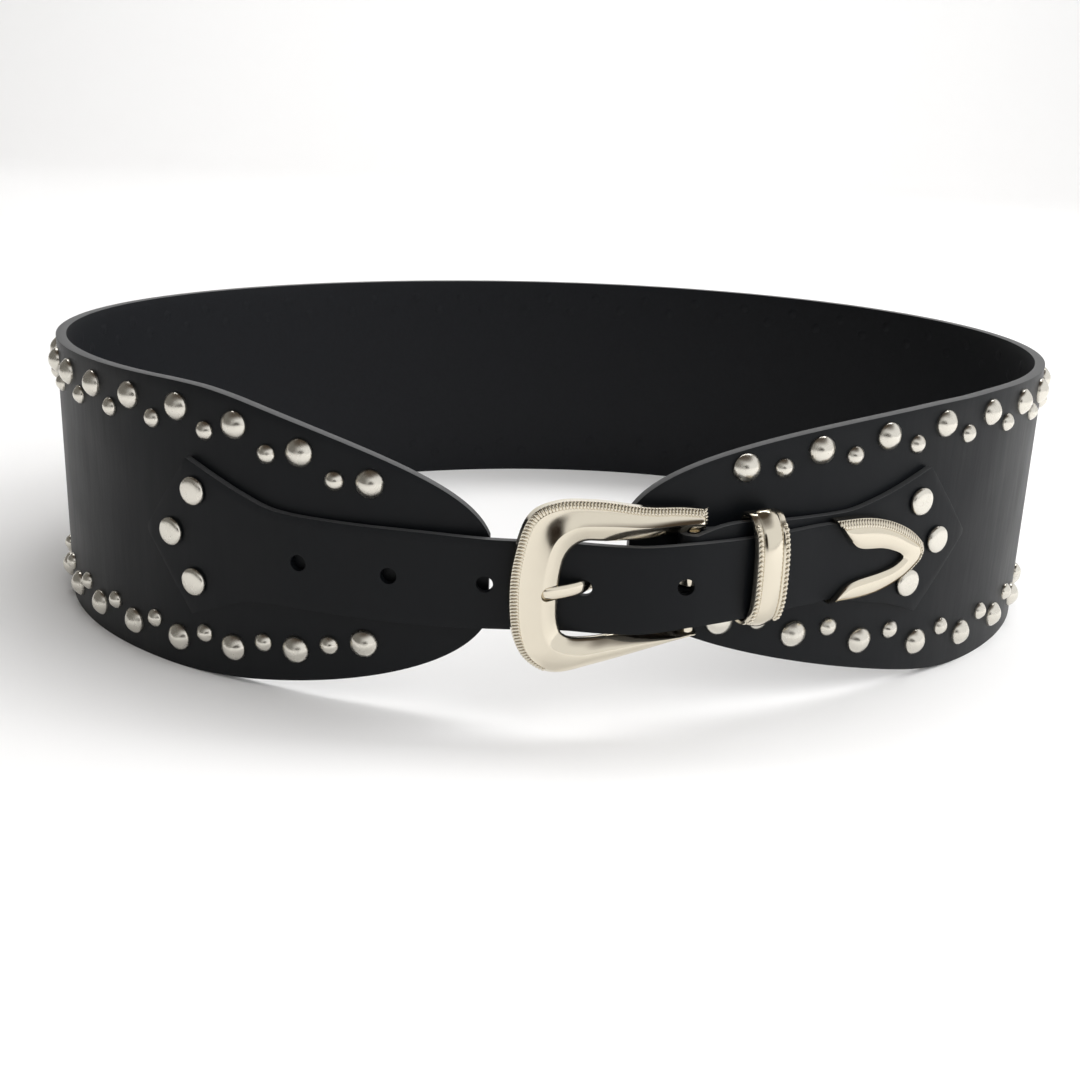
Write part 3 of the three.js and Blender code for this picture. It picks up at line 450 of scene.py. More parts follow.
def through(stations, steps):
    """Rows of a station table, smoothed through by even steps between them."""
    rows = np.array(stations, float)
    last = len(rows) - 1
    at = np.linspace(0, last, last * steps + 1)
    row = np.minimum(at.astype(int), last - 1)
    share = (at - row)[:, None]
    a, b = rows[np.maximum(row - 1, 0)], rows[row]
    c, d = rows[row + 1], rows[np.minimum(row + 2, last)]
    start, end = (c - a) / 2, (d - b) / 2
    return (
        (2 * b - 2 * c + start + end) * share**3
        + (3 * c - 3 * b - 2 * start - end) * share**2 + start * share + b
    )


def seat(place, offset, level):
    """Where a fitting sits on the belt: X along it, Y up, Z out of it."""
    point, way, out = on_oval(np.array(place), offset), along_at(place), outward_at(place)
    return Matrix((
        (way[0], 0, out[0], point[0] * MM),
        (way[1], 0, out[1], point[1] * MM),
        (0, 1, 0, level * MM),
        (0, 0, 0, 1),
    ))


def set_out(name, model, seats):
    """Copies of one model, each with its own mesh, joined as one piece."""
    copies = []
    for matrix in seats:
        copy = model.copy()
        copy.data = model.data.copy()
        copy.data.transform(matrix)
        bpy.context.scene.collection.objects.link(copy)
        copies.append(copy)
    bpy.data.objects.remove(model)
    deselect()
    for copy in copies:
        copy.select_set(True)
    bpy.context.view_layer.objects.active = copies[0]
    bpy.ops.object.join()
    piece = bpy.context.object
    piece.name = piece.data.name = name
    return piece


def string_along(points, pitch):
    """Even places down a line of points: the point and the way along at each."""
    lengths = lengths_along(points)
    count = int(round(lengths[-1] / pitch))
    at = (np.arange(count) + 0.5) * lengths[-1] / count
    way = down_line(at + 0.2, lengths, points) - down_line(at - 0.2, lengths, points)
    way /= np.linalg.norm(way, axis=1)[:, None]
    return down_line(at, lengths, points), way, at, lengths


def bead_seat(middle, way, across):
    """A bead's place: X along the row, Y across it, Z out of it."""
    across = across - way * (across @ way)
    across = across / np.linalg.norm(across)
    out = np.cross(way, across)
    matrix = np.eye(4)
    matrix[:3, 0], matrix[:3, 1], matrix[:3, 2], matrix[:3, 3] = way, across, out, middle * MM
    return Matrix(matrix.tolist())


def ellipsoid(name, along, across, out):
    """A small bead, from a ball stretched to its sizes."""
    deselect()
    bpy.ops.mesh.primitive_uv_sphere_add(segments=8, ring_count=6, radius=MM)
    bead = bpy.context.object
    bead.name = bead.data.name = name
    edit(bead, (bpy.ops.transform.resize, {"value": (along, across, out)}))
    return bead


def finish(piece, materials, nodes=(), angle=35.0):
    """Shades a piece, gives it its materials and seats it on the belt's body."""
    take(piece)
    bpy.ops.object.shade_smooth_by_angle(angle=math.radians(angle))
    piece.data.materials.clear()
    for material in materials:
        piece.data.materials.append(material)
    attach(piece, "root")
    if nodes:
        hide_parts(*nodes)


def soften(sheet, width):
    """Rounds the cut edges of a sheet of leather."""
    modify(
        sheet, "BEVEL", width=width, segments=3, limit_method="ANGLE",
        angle_limit=math.radians(50),
    )


def lay(sheet, course, node):
    """Bends a finished sheet along its course and lets it stand for its solid."""
    bend(sheet, course)
    take(sheet)
    bpy.ops.object.shade_smooth_by_angle(angle=math.radians(40))
    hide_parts(node)


def cast_cord(name, line, across, pitch, bar, lean, metal):
    """Cast bars strung along a rim, each as wide as the rim there and leaning a little."""
    line, across = np.array(line), np.array(across)
    middle, way, spots, lengths = string_along(line, pitch)
    seats = []
    for point, along, spot in zip(middle, way, spots):
        leaning = down_line(spot, lengths, across)
        size = np.linalg.norm(leaning)
        grow = Matrix.Diagonal((1, size / 2, 1, 1))
        seats.append(bead_seat(point, along, leaning / size + along * lean) @ grow)
    share, wide, high = bar
    cord = set_out(name, ellipsoid("bar", pitch * share, wide, high), seats)
    finish(cord, metal, angle=60)


# Materials

def linear(code):
    """An sRGB hex colour as a linear one with full alpha."""
    channels = [int(code[k:k + 2], 16) / 255 for k in (1, 3, 5)]
    return (*[c / 12.92 if c <= 0.04045 else ((c + 0.055) / 1.055) ** 2.4 for c in channels], 1)


def add(tree, kind, links=(), **settings):
    """Adds a node, sets its sockets and properties, and links sockets to other nodes' outputs."""
    node = tree.nodes.new(kind)
    for key, value in settings.items():
        if key in node.inputs:
            node.inputs[key].default_value = value
        else:
            setattr(node, key, value)
    for socket, output in dict(links).items():
        tree.links.new(output, node.inputs[socket])
    return node


def noise(tree, place, size, detail=2.0):
    """Clouds of so many millimetres."""
    cloud = add(tree, "ShaderNodeTexNoise", {"Vector": place}, Scale=1 / (size * MM), Detail=detail)
    return cloud.outputs["Fac"]


def relief(tree, height, strength, depth, **links):
    """A bump of so many millimetres."""
    links["Height"] = height
    bump = add(tree, "ShaderNodeBump", links, Strength=strength, Distance=depth * MM)
    return bump.outputs["Normal"]


def ranged(tree, output, low, high, start=0.0, end=1.0, step="LINEAR"):
    """A value led from one range into another."""
    node = add(
        tree, "ShaderNodeMapRange", {"Value": output}, interpolation_type=step,
        **{"From Min": low, "From Max": high, "To Min": start, "To Max": end},
    )
    return node.outputs["Result"]


def mixed(tree, share, first, second):
    """Two colours mixed: hex values, or another node's output as the first."""
    node = add(tree, "ShaderNodeMixRGB", {"Fac": share}, Color2=linear(second))
    if isinstance(first, str):
        node.inputs["Color1"].default_value = linear(first)
    else:
        tree.links.new(first, node.inputs["Color1"])
    return node.outputs["Color"]


def new_material(name):
    """A material's tree, shader and coordinates, or only the material if it is there."""
    material = bpy.data.materials.get(name)
    if material:
        return material, None, None, None
    material = bpy.data.materials.new(name)
    material.use_nodes = True
    tree = material.node_tree
    place = add(tree, "ShaderNodeTexCoord").outputs["Object"]
    return material, tree, tree.nodes["Principled BSDF"], place


def dress(tree, shader, links, **values):
    """Links and sets a shader's inputs."""
    for key, value in values.items():
        shader.inputs[key.replace("_", " ")].default_value = value
    for key, output in links.items():
        tree.links.new(output, shader.inputs[key])


def smooth_black_leather(colours):
    """Finished cowhide, smooth side out: near black with a soft sheen and a pore-fine grain."""
    material, tree, shader, place = new_material("smooth_black_leather")
    if tree is None:
        return material
    # Pores of about 0.5 mm are drawn at 0.8 mm so that they show
    pores = add(tree, "ShaderNodeTexVoronoi", {"Vector": place}, Scale=1 / (0.8 * MM))
    cloud = noise(tree, place, 24, 4.0)
    upright = add(tree, "ShaderNodeMapping", {"Vector": place}, Scale=(1, 1, 0.18))
    creases = relief(tree, noise(tree, upright.outputs["Vector"], 9, 3.0), 0.35, 0.6)
    dress(tree, shader, {
        "Base Color": mixed(tree, cloud, colours.leather_deep_hex, colours.leather_hex),
        "Roughness": ranged(tree, cloud, 0.3, 0.7, 0.4, 0.48),
        "Normal": relief(tree, pores.outputs["Distance"], 0.12, 0.05, Normal=creases),
    }, Specular_IOR_Level=0.16)
    return material


def lining_with_painted_shade():
    """Split leather on the inside: matt, darker, with a short uneven nap; the darker colour is
    partly painted shade for the inside of the loop.
    """
    material, tree, shader, place = new_material("lining_with_painted_shade")
    if tree is None:
        return material
    nap = noise(tree, place, 1.2, 3.0)
    dress(tree, shader, {
        # Partly painted shade: these colours are set dark to stand in for the shade inside the loop
        "Base Color": mixed(tree, nap, "#08090C", "#121418"),
        "Normal": relief(tree, nap, 0.25, 0.1),
    }, Roughness=0.6, Specular_IOR_Level=0.25)
    return material


def cut_edge_painted_highlight():
    """A cut edge, sanded and painted: dark grey, satin, catching a thin line of light; its grey is
    partly the edge paint's own colour and partly painted highlight.
    """
    material, tree, shader, place = new_material("cut_edge_painted_highlight")
    if tree is None:
        return material
    fibre = relief(tree, noise(tree, place, 0.9), 0.2, 0.08)
    # Partly painted highlight: the grey base colour stands in for the light that the rounded edge
    # catches
    dress(tree, shader, {"Normal": fibre}, Base_Color=linear("#3A3B3C"), Roughness=0.5)
    return material


def nickel(name, code, roughness):
    """Nickel-plated metal, tumbled and polished: bright, with faint polishing ripples."""
    material, tree, shader, place = new_material(name)
    if tree is None:
        return material
    ripple = noise(tree, place, 3)
    dress(tree, shader, {
        "Roughness": ranged(tree, ripple, 0.3, 0.7, roughness * 0.85, roughness * 1.2),
        "Normal": relief(tree, ripple, 0.04, 0.1),
    }, Base_Color=linear(code), Metallic=1.0)
    return material


def polished_cast_nickel(colours):
    return nickel("polished_cast_nickel", colours.cast_hex, 0.14)


def pressed_nickel_caps(colours):
    return nickel("pressed_nickel_caps", colours.cap_hex, 0.25)


def matt_white_paper(colours):
    """Seamless photographer's paper: white and matt, with a trace of tooth."""
    material, tree, shader, place = new_material("matt_white_paper")
    if tree is None:
        return material
    tooth = relief(tree, noise(tree, place, 2), 0.03, 0.1)
    dress(tree, shader, {"Normal": tooth}, Base_Color=linear(colours.floor_hex), Roughness=0.9)
    return material


# Sizes and colours that a user would change

def length(name, description, millimetres):
    return bpy.props.FloatProperty(
        name=name, description=description, default=millimetres * MM, min=0.05 * MM,
        unit="LENGTH", precision=5,
    )


def hex_colour(name, description, code):
    return bpy.props.StringProperty(name=name, description=description, default=code, maxlen=7)


class BELT_PG_sizes(bpy.types.PropertyGroup):
    """Sizes of the leather and the fittings."""

    band_thickness: length("Band thickness", "Thickness of the band's leather", 3.0)
    strap_thickness: length("Strap thickness", "Thickness of the narrow straps", 2.0)
    big_stud: length("Big stud", "Diameter of the big dome studs", 7.5)
    small_stud: length("Small stud", "Diameter of the small dome studs", 5.2)
    rivet: length("Rivet", "Diameter of the strap rivets' heads", 7.7)
    cord_pitch: length("Cord pitch", "From bar to bar of the cast cord", 0.88)
    bead_pitch: length("Bead pitch", "From bead to bead on the keeper", 1.25)
    edge_round: length("Edge rounding", "How far the leather's edges are rounded", 0.7)


class BELT_PG_colours(bpy.types.PropertyGroup):
    """Colours of the leather and the metal, as sRGB hex values."""

    leather_hex: hex_colour("Leather", "Leather in its lighter areas", "#101215")
    leather_deep_hex: hex_colour("Deep leather", "Leather in its darker areas", "#0A0C0E")
    cast_hex: hex_colour("Cast nickel", "Buckle, prong, keeper and tip", "#D9D1C0")
    cap_hex: hex_colour("Pressed nickel", "Studs and rivets", "#DAD6CC")
    floor_hex: hex_colour("Paper", "The floor and its sweep", "#F4F4F4")


class Maker:
    """Runs an operator's own step with the sizes and colours that the scene holds."""

    def execute(self, context):
        self.make(context.scene.belt_sizes, context.scene.belt_colours)
        return {"FINISHED"}


class BELT_OT_band(Maker, bpy.types.Operator):
    """Cuts the band, rounds its edges and bends it round the oval"""

    bl_idname = "belt.band"
    bl_label = "Waist band"

    def make(self, sizes, colours):
        crowd = np.linspace(0, 1, 60) ** 1.8
        right = RIGHT_END + 1.3 * RIGHT_TAPER * crowd
        left = RING_LENGTH + LEFT_END - 1.3 * LEFT_TAPER * crowd[::-1]
        back = np.linspace(right[-1], left[0], 240)[1:-1]
        places = np.r_[right, back, left]
        low, high = band_edges(places)
        band = upright_plate("waist_band_leather", places, low, high, 24)
        finish(
            band,
            (smooth_black_leather(colours), lining_with_painted_shade(), cut_edge_painted_highlight()),
        )
        modify(
            band, "SOLIDIFY", thickness=sizes.band_thickness, offset=0.0,
            material_offset=1, material_offset_rim=2,
        )
        soften(band, sizes.edge_round)
        lay(band, RING, "waist_band")

        mark = turned("mark", MARK_PROFILE, 12)
        inside = -sizes.band_thickness / MM / 2
        facing_in = Matrix.Rotation(math.pi, 4, "X")
        seats = [seat(s, inside, z) @ facing_in for s, z, big in stud_places()]
        marks = set_out("lining_marks", mark, seats)
        finish(marks, (lining_with_painted_shade(),))


def stud_places():
    """Every stud's place along the belt, its height and whether it is a big one."""
    places = []
    for edge, side, first, pitches, big_insets, small_insets in STUD_ROWS:
        pitch = (RING_LENGTH / 2 - abs(first)) / pitches
        for half in range(round(pitches * 2) + (1 if side < 0 else 0)):
            place = first + side * pitch * half / 2
            big = half % 2 == 0
            usual, change = big_insets if big else small_insets
            inset = usual + change * TIP_EASE ** (half // 2)
            low, high = band_edges(np.array(place))
            level = float(high) - inset if edge == "upper" else float(low) + inset
            places.append((place, level, big))
    return places


def dome_profile(diameter, height):
    """A pressed cap: a short upright rim under a flat round dome."""
    radius = diameter / 2
    rim = height * 0.22
    arch = [(radius * out, rim + (height - rim) * (1 - out**2.1)) for out in DOME_SHARES]
    return [(0, -STUD_SINK), (radius, -STUD_SINK), (radius, rim * 0.7), *arch]


class BELT_OT_studs(Maker, bpy.types.Operator):
    """Sets the two sizes of dome studs along both edges"""

    bl_idname = "belt.studs"
    bl_label = "Dome studs"

    def make(self, sizes, colours):
        face = sizes.band_thickness / MM / 2
        kinds = (
            ("big_dome_studs", True, sizes.big_stud / MM, BIG_STUD_HEIGHT, 24),
            ("small_dome_studs", False, sizes.small_stud / MM, SMALL_STUD_HEIGHT, 20),
        )
        for name, wanted, diameter, height, sides in kinds:
            model = turned("stud", dome_profile(diameter, height), sides)
            seats = [seat(s, face, z) for s, z, big in stud_places() if big == wanted]
            studs = set_out(name, model, seats)
            finish(studs, (pressed_nickel_caps(colours),), angle=50)


def punch(strap, along, level, stretch=0.0, radius=HOLE_DIAMETER / 2):
    """Punches a round or slotted hole through a strap that still lies flat."""
    deselect()
    bpy.ops.mesh.primitive_cylinder_add(
        vertices=28, radius=radius * MM, depth=12 * MM,
        location=(along * MM, 0, level * MM), rotation=(math.pi / 2, 0, 0),
    )
    tool = bpy.context.object
    bpy.ops.object.transform_apply(location=True, rotation=True, scale=True)
    for vertex in tool.data.vertices:
        side = vertex.co.x - along * MM
        if abs(side) > 0.01 * MM:
            vertex.co.x += math.copysign(stretch * MM, side)
    combine(strap, tool, "DIFFERENCE")


class BELT_OT_straps(Maker, bpy.types.Operator):
    """Cuts the two narrow straps, punches them and bends them over the band"""

    bl_idname = "belt.straps"
    bl_label = "Straps"

    def make(self, sizes, colours):
        layers = Layers(sizes)
        leather = (smooth_black_leather(colours), cut_edge_painted_highlight())

        course_places = np.arange(TIP_ROOT - 1, TIP_APEX + 1, 0.5)
        course = on_oval(course_places, layers.tip_offset(course_places))
        lengths = lengths_along(course)
        flare = TIP_ROOT + TIP_OUTLINE[1][0] * (TIP_APEX - TIP_ROOT)
        end = TIP_APEX - TIP_WALL - 2 * FIT
        places = np.r_[
            np.linspace(TIP_ROOT, flare, 8)[:-1], np.arange(flare, end - 4, 2.0),
            np.linspace(end - 4, end, 8),
        ]
        half = strap_half(places, "tip")
        inset = TIP_WALL + FIT
        pointed = np.maximum(arch_half(TIP_APEX - places - inset) - inset, 0.4)
        half = np.where(places > TIP_APEX - TIP_LENGTH, np.minimum(half, pointed), half)
        middle = strap_middle(places, "tip")
        along = np.interp(places, course_places, lengths)
        tip = upright_plate("tip_strap_leather", along, middle - half, middle + half, 10)
        finish(tip, leather)
        modify(tip, "SOLIDIFY", thickness=sizes.strap_thickness, offset=0.0, material_offset_rim=1)
        for step in HOLE_STEPS:
            place = PRONG_HOLE_PLACE + HOLE_PITCH * step
            level = strap_middle(np.array(place), "tip")
            if step == 0:
                place += PRONG_HOLE_SHIFT
                level = BAND_HEIGHT / 2 + FRAME_LEVEL + prong_level(BAR_PLACE - place)
                level -= PRONG_HOLE_DROP
            punch(tip, np.interp(place, course_places, lengths), float(level))
        soften(tip, sizes.edge_round * STRAP_ROUND_SHARE)
        lay(tip, course, "tip_strap")

        front_places = np.arange(BUCKLE_ROOT + 1, BAR_PLACE, -0.5)
        front = on_oval(front_places, layers.buckle_offset(front_places))
        centre = on_oval(np.array(BAR_PLACE), layers.bar)
        way, out = along_at(BAR_PLACE), outward_at(BAR_PLACE)
        turns = np.linspace(0, np.pi, 40)[:, None]
        fold = centre + layers.fold * (out * np.cos(turns) - way * np.sin(turns))
        tail_places = np.arange(BAR_PLACE + 0.5, BAR_PLACE + FOLD_TAIL + 1, 0.5)
        tail = on_oval(tail_places, np.full(len(tail_places), layers.seat))
        course = np.r_[front, fold, tail]
        lengths = lengths_along(course)
        bar_at, tail_at = lengths[len(front)], lengths[len(front) + len(fold) - 1]
        corner = BUCKLE_ROOT - BUCKLE_OUTLINE[1][0] * (BUCKLE_ROOT - BAR_PLACE)
        places = np.r_[
            np.linspace(BUCKLE_ROOT, corner, 8)[:-1], np.arange(corner, BAR_PLACE + 1, -2.0)
        ]
        along = np.interp(-places, -front_places, lengths[:len(front)])
        round_bar = np.linspace(bar_at, tail_at, 16)
        beyond = tail_at + np.linspace(0.5, FOLD_TAIL, 5)
        along = np.r_[along, round_bar, beyond]
        places = np.r_[places, np.full(len(round_bar) + len(beyond), BAR_PLACE)]
        half, middle = strap_half(places, "buckle"), strap_middle(places, "buckle")
        strap = upright_plate("buckle_strap_leather", along, middle - half, middle + half, 10)
        finish(strap, leather)
        modify(
            strap, "SOLIDIFY", thickness=sizes.strap_thickness, offset=0.0, material_offset_rim=1
        )
        reach = (layers.fold + layers.strap) * 2 + math.pi * layers.fold
        level = BAND_HEIGHT / 2 + FRAME_LEVEL + prong_level(0)
        radius = PRONG_WIDTH / 2 + 2 * FIT
        slot_stretch = reach / 2 - layers.fold - radius
        punch(strap, (bar_at + tail_at) / 2, level, slot_stretch, radius)
        soften(strap, sizes.edge_round * STRAP_ROUND_SHARE)
        lay(strap, course, "buckle_strap")


def frame_section(width, crest, roll):
    """The casting's section, in shares across and millimetres out, from the outer edge in.

    A corded rim, a hollow slope up to a crest and a bevel down to the opening. Along the lower
    arm the rim and the hollow roll over into one round back.
    """
    rim = min(FRAME_CORD_WIDTH * (1 - 0.6 * roll) / width, 0.42)
    shoulder = RIM_DEPTH - 0.55 - 1.2 * roll
    groove = rim + 0.22 / width
    crest = max(crest, groove + 0.12)
    rows = [(0.02, 0), (0, 0.25), (0, shoulder)]
    cast = [(rim, RIM_DEPTH - 0.1), (groove, RIM_DEPTH - 0.5)]
    for share in (0.2, 0.4, 0.6, 0.8, 0.93):
        height = RIM_DEPTH - 0.5 + (FRAME_DEPTH - RIM_DEPTH + 0.5) * share**1.9
        cast.append((groove + (crest - groove) * share, height))
    for across, height in cast:
        rolled = shoulder + (FRAME_DEPTH - shoulder) * (1 - (1 - across / crest) ** 2) ** 0.6
        rows.append((across, height + (rolled - height) * roll))
    rows.append((crest, FRAME_DEPTH))
    for share in (0.06, 0.3, 0.55, 0.8, 0.95):
        rows.append((crest + (1 - crest) * share, FRAME_DEPTH - 2.3 * share**1.25))
    rows += [(1, LIP_DEPTH), (1, 0.3), (0.98, 0)]
    return rows


def frame_line(steps):
    """Rows round the horseshoe: outer point, inner point, crest and roll, in millimetres."""
    table = through(FRAME_STATIONS, steps)
    halves = np.where(table[:, 1] > 0, FRAME_TOP_HALF, FRAME_BOTTOM_HALF)
    outer = np.stack([table[:, 0] * FRAME_LENGTH, table[:, 1] * halves], 1)
    inner = np.stack([table[:, 2] * FRAME_OPENING, table[:, 3] * OPENING_HALF], 1)
    return outer, inner, table[:, 4], np.clip(table[:, 5], 0, 1)


class BELT_OT_buckle(Maker, bpy.types.Operator):
    """Models the horseshoe frame with its cord, the bar and the prong"""

    bl_idname = "belt.buckle"
    bl_label = "Buckle"

    def make(self, sizes, colours):
        layers = Layers(sizes)
        metal = (polished_cast_nickel(colours),)
        outer, inner, crests, rolls = frame_line(8)
        rings, cord, across = [], [], []
        for start, end, crest, roll in zip(outer, inner, crests, rolls):
            width = np.linalg.norm(end - start)
            rows = np.array(frame_section(width, crest, roll))
            flat = start + (end - start) * rows[:, :1]
            ring = layers.in_frame(flat[:, 0], rows[:, 1], flat[:, 1])
            rings.append(ring)
            if roll < 0.85 or end[1] > 0:
                cord.append((ring[2] + ring[3]) / 2)
                across.append(ring[3] - ring[2])
        away = np.append(-layers.along, 0)
        # The cord first comes up round the upper arm's end
        lip, top = rings[0][-3], rings[0][2]
        outwards = layers.in_frame(0, 1, 0) - layers.in_frame(0, 0, 0)
        shares = (0.9, 0.7, 0.5, 0.3, 0.1)
        round_end = [
            top + (lip - top) * s + away * 1.1 * math.sin(math.pi * s) ** 0.5 for s in shares
        ]
        cord = round_end + cord
        across = [outwards * 0.6 - away * 1.6] * len(shares) + across
        rings = [*nose(rings[0], away, 1.0)[::-1], *rings, *nose(rings[-1], away, 1.0)]
        casting = loft("buckle_frame_cast", np.array(rings))

        at = PRONG_REACH - PRONG_WIDTH
        half = PRONG_WIDTH / 2 + 0.15
        level = prong_level(at)
        turns = np.linspace(-0.5 * np.pi, 0.5 * np.pi, 15)
        alongs = np.r_[PRONG_REACH + 0.15 - half + half * np.cos(turns), [FRAME_OPENING / 2] * 2]
        heights = np.r_[level + half * np.sin(turns), level + half, level - half]
        notch = loft("notch", np.array([
            layers.in_frame(alongs, depth, heights) for depth in (NOTCH_DEPTH, 9)
        ]))
        combine(casting, notch, "DIFFERENCE")

        turns = np.linspace(0, 2 * np.pi, 24, endpoint=False)
        radius = BAR_DIAMETER / 2
        upper_end = FRAME_STATIONS[0][3] * OPENING_HALF + 0.15
        lower_end = FRAME_STATIONS[-1][3] * OPENING_HALF - 1
        bar = loft("bar", np.array([
            layers.in_frame(radius * np.cos(turns), BAR_DEPTH + radius * np.sin(turns), height)
            for height in (upper_end, lower_end)
        ]))
        combine(casting, bar, "UNION")
        finish(casting, metal, ("buckle_frame",), angle=32)

        bar_sizes = (0.56, 1.08, 0.45)
        cast_cord("buckle_frame_cord", cord, across, sizes.cord_pitch / MM, bar_sizes, 0.25, metal)

        rows = [
            (share * PRONG_HOLE_REACH, BAR_DEPTH - dip * PRONG_DIP) for share, dip in PRONG_COURSE
        ]
        rest = NOTCH_DEPTH + FIT + PRONG_THICKNESS / 2
        rows += [(FRAME_OPENING - FIT, rest), (PRONG_REACH, rest)]
        along = np.linspace(rows[0][0], PRONG_REACH - 1.5, 44)
        depth = read_table(rows, along)
        fall = np.gradient(depth, along)
        turns = np.linspace(0, 2 * np.pi, 16, endpoint=False)
        side = np.sign(np.cos(turns)) * np.abs(np.cos(turns)) ** 0.8
        rise = np.sign(np.sin(turns)) * np.abs(np.sin(turns)) ** 0.8
        rings = []
        for place, out, slope in zip(along, depth, fall):
            lean = np.where(rise > 0, 0.5, 1.0) * PRONG_THICKNESS * rise / math.hypot(1, slope)
            height = prong_level(place) + side * PRONG_WIDTH / 2
            rings.append(layers.in_frame(place - lean * slope, out + lean, height))
        rings += nose(rings[-1], np.append(layers.along, 0), 1.5, 8)
        prong = loft("buckle_prong_cast", np.array(rings))
        turns = np.linspace(0, 2 * np.pi, 32, endpoint=False)
        hollow, wall = BAR_DIAMETER / 2 + FIT, PRONG_EYE
        section = ((0, -0.5), (wall, -0.5), (wall, 0.5), (0, 0.5))
        eye = loft("eye", np.array([
            [
                layers.in_frame(
                    (hollow + out) * math.cos(t), BAR_DEPTH + (hollow + out) * math.sin(t),
                    prong_level(0) + PRONG_WIDTH * up,
                )
                for out, up in section
            ]
            for t in turns
        ]), closed=True)
        combine(prong, eye, "UNION")
        finish(prong, metal, ("buckle_prong",))


class BELT_OT_keeper(Maker, bpy.types.Operator):
    """Models the keeper loop with a row of beads along both edges"""

    bl_idname = "belt.keeper"
    bl_label = "Keeper loop"

    def make(self, sizes, colours):
        layers = Layers(sizes)
        places = np.array([-KEEPER_WIDTH / 2, 0, KEEPER_WIDTH / 2]) + KEEPER_PLACE
        before, centre, after = on_oval(places, layers.buckle_offset(places) + layers.step / 2)
        along = (after - before) / np.linalg.norm(after - before)
        outward = np.array([along[1], -along[0]])
        place = np.array(KEEPER_PLACE)
        upper = strap_middle(place, "buckle") + strap_half(place, "buckle")
        lower = strap_middle(place, "tip") - strap_half(place, "tip")
        level = float(upper + lower) / 2
        rim = KEEPER_RIM / KEEPER_WIDTH
        # Across the loop: place as a share of its width, wall and height of the rim
        outside = [
            (-0.5, 0.8, 0), (-0.48, 0.95, 0.3), (-0.5 + rim, 0.95, 0.35), (-0.46 + rim, 1, 0),
        ]
        dome = [
            (a, 1 + 0.85 * math.cos(math.pi * a / 0.68), 0) for a in np.linspace(-0.3, 0.3, 9)
        ]
        mirrored = [(-a, wall, bead) for a, wall, bead in outside[::-1]]
        section = [(-0.5, 0, 0), *outside, *dome, *mirrored, (0.5, 0, 0)]
        turns = np.linspace(0, 2 * np.pi, 96, endpoint=False)

        def turn_back(turn):
            return (turn + math.pi) % (2 * math.pi) - math.pi

        def spot(turn, across, wall, bead):
            cosine, sine = math.cos(turn), math.sin(turn)
            front = cosine > 0
            reach = layers.strap + FIT / 2 + (KEEPER_FRONT_SLACK if front else KEEPER_SLACK)
            power = KEEPER_HEIGHT_POWERS[front * (1 + (sine > 0))]
            side = math.copysign(abs(cosine) ** KEEPER_DEPTH_POWERS[front], cosine)
            rise = math.copysign(abs(sine) ** power, sine)
            share = np.clip((KEEPER_FADE[sine > 0] - abs(turn_back(turn))) / 0.3, 0, 1)
            if wall > 0:
                wall = wall + bead * share if front else min(wall, 1.0)
                wall += KEEPER_BULGE * share * (1 - rise**4)
            depth = side * reach + cosine * wall
            flat = centre + along * across * KEEPER_WIDTH + outward * depth
            return [*flat, level + rise * KEEPER_HALF_HEIGHT + sine * wall]

        rings = [[spot(turn, *point) for point in section] for turn in turns]
        loop = loft("keeper_loop_cast", np.array(rings), closed=True)
        metal = (polished_cast_nickel(colours),)
        finish(loop, metal, ("keeper_loop",), angle=40)

        seats = []
        across = np.append(along, 0)
        front = np.linspace(-KEEPER_FADE[0], KEEPER_FADE[1] - 0.1, 80)
        for edge in (-0.5 + rim / 2, 0.5 - rim / 2):
            line = np.array([spot(turn, edge, 0.95, 0.35) for turn in front])
            middle, way, _, _ = string_along(line, sizes.bead_pitch / MM)
            seats += [bead_seat(point, way_at, across) for point, way_at in zip(middle, way)]
        bead = ellipsoid("bead", sizes.bead_pitch / MM * 0.5, KEEPER_RIM * 0.52, 0.5)
        beads = set_out("keeper_loop_beads", bead, seats)
        finish(beads, metal, angle=60)


class BELT_OT_metal_tip(Maker, bpy.types.Operator):
    """Models the V-shaped metal tip with the cord along its outer edge"""

    bl_idname = "belt.metal_tip"
    bl_label = "Metal tip"

    def make(self, sizes, colours):
        layers = Layers(sizes)
        metal = (polished_cast_nickel(colours),)
        table = through(TIP_STATIONS, 8)
        under = layers.strap / 2 + FIT
        rings, cord, across = [], [], []
        for out_back, out_up, in_back, in_up in table:
            back = out_back * TIP_LENGTH
            start = np.array([TIP_APEX - back, math.copysign(float(arch_half(back)), out_up)])
            end = np.array([TIP_APEX - in_back * TIP_LENGTH, in_up * TIP_HALF_HEIGHT])
            width = np.linalg.norm(end - start)
            roll = np.clip(0.5 - 0.9 * out_up, 0, 1)
            edge = min(TIP_WALL / width, 0.5)
            rim = min(TIP_CORD_WIDTH * (1 - 0.55 * roll) / width, 0.6)
            face = np.linspace(rim, 1, 7)[1:-1]
            swell = under + 1.4 + 0.45 * np.sin(np.pi * (face - rim) / (1 - rim))
            rows = np.array([
                (0, -layers.strap / 2), (0, under + 0.6 - 0.5 * roll), (rim, under + 1.55),
                (min(rim + 0.15 / width, 0.8), under + 1.35), *zip(face, swell),
                (1, under + 1.1), (1, under), (edge, under), (edge, -layers.strap / 2),
            ])
            flat = start + (end - start) * rows[:, :1]
            points = on_oval(flat[:, 0], layers.tip_offset(flat[:, 0]) + rows[:, 1])
            levels = strap_middle(flat[:, 0], "tip") + flat[:, 1]
            ring = np.c_[points, levels]
            rings.append(ring)
            if out_up > -0.6:
                cord.append((ring[1] + ring[2]) / 2)
                across.append(ring[2] - ring[1])
        plate = loft("strap_tip_cast", np.array(rings))
        finish(plate, metal, ("strap_tip",), angle=35)

        bar_sizes = (0.58, 1.0, 0.32)
        cast_cord("strap_tip_cord", cord, across, sizes.cord_pitch / MM, bar_sizes, 0.2, metal)


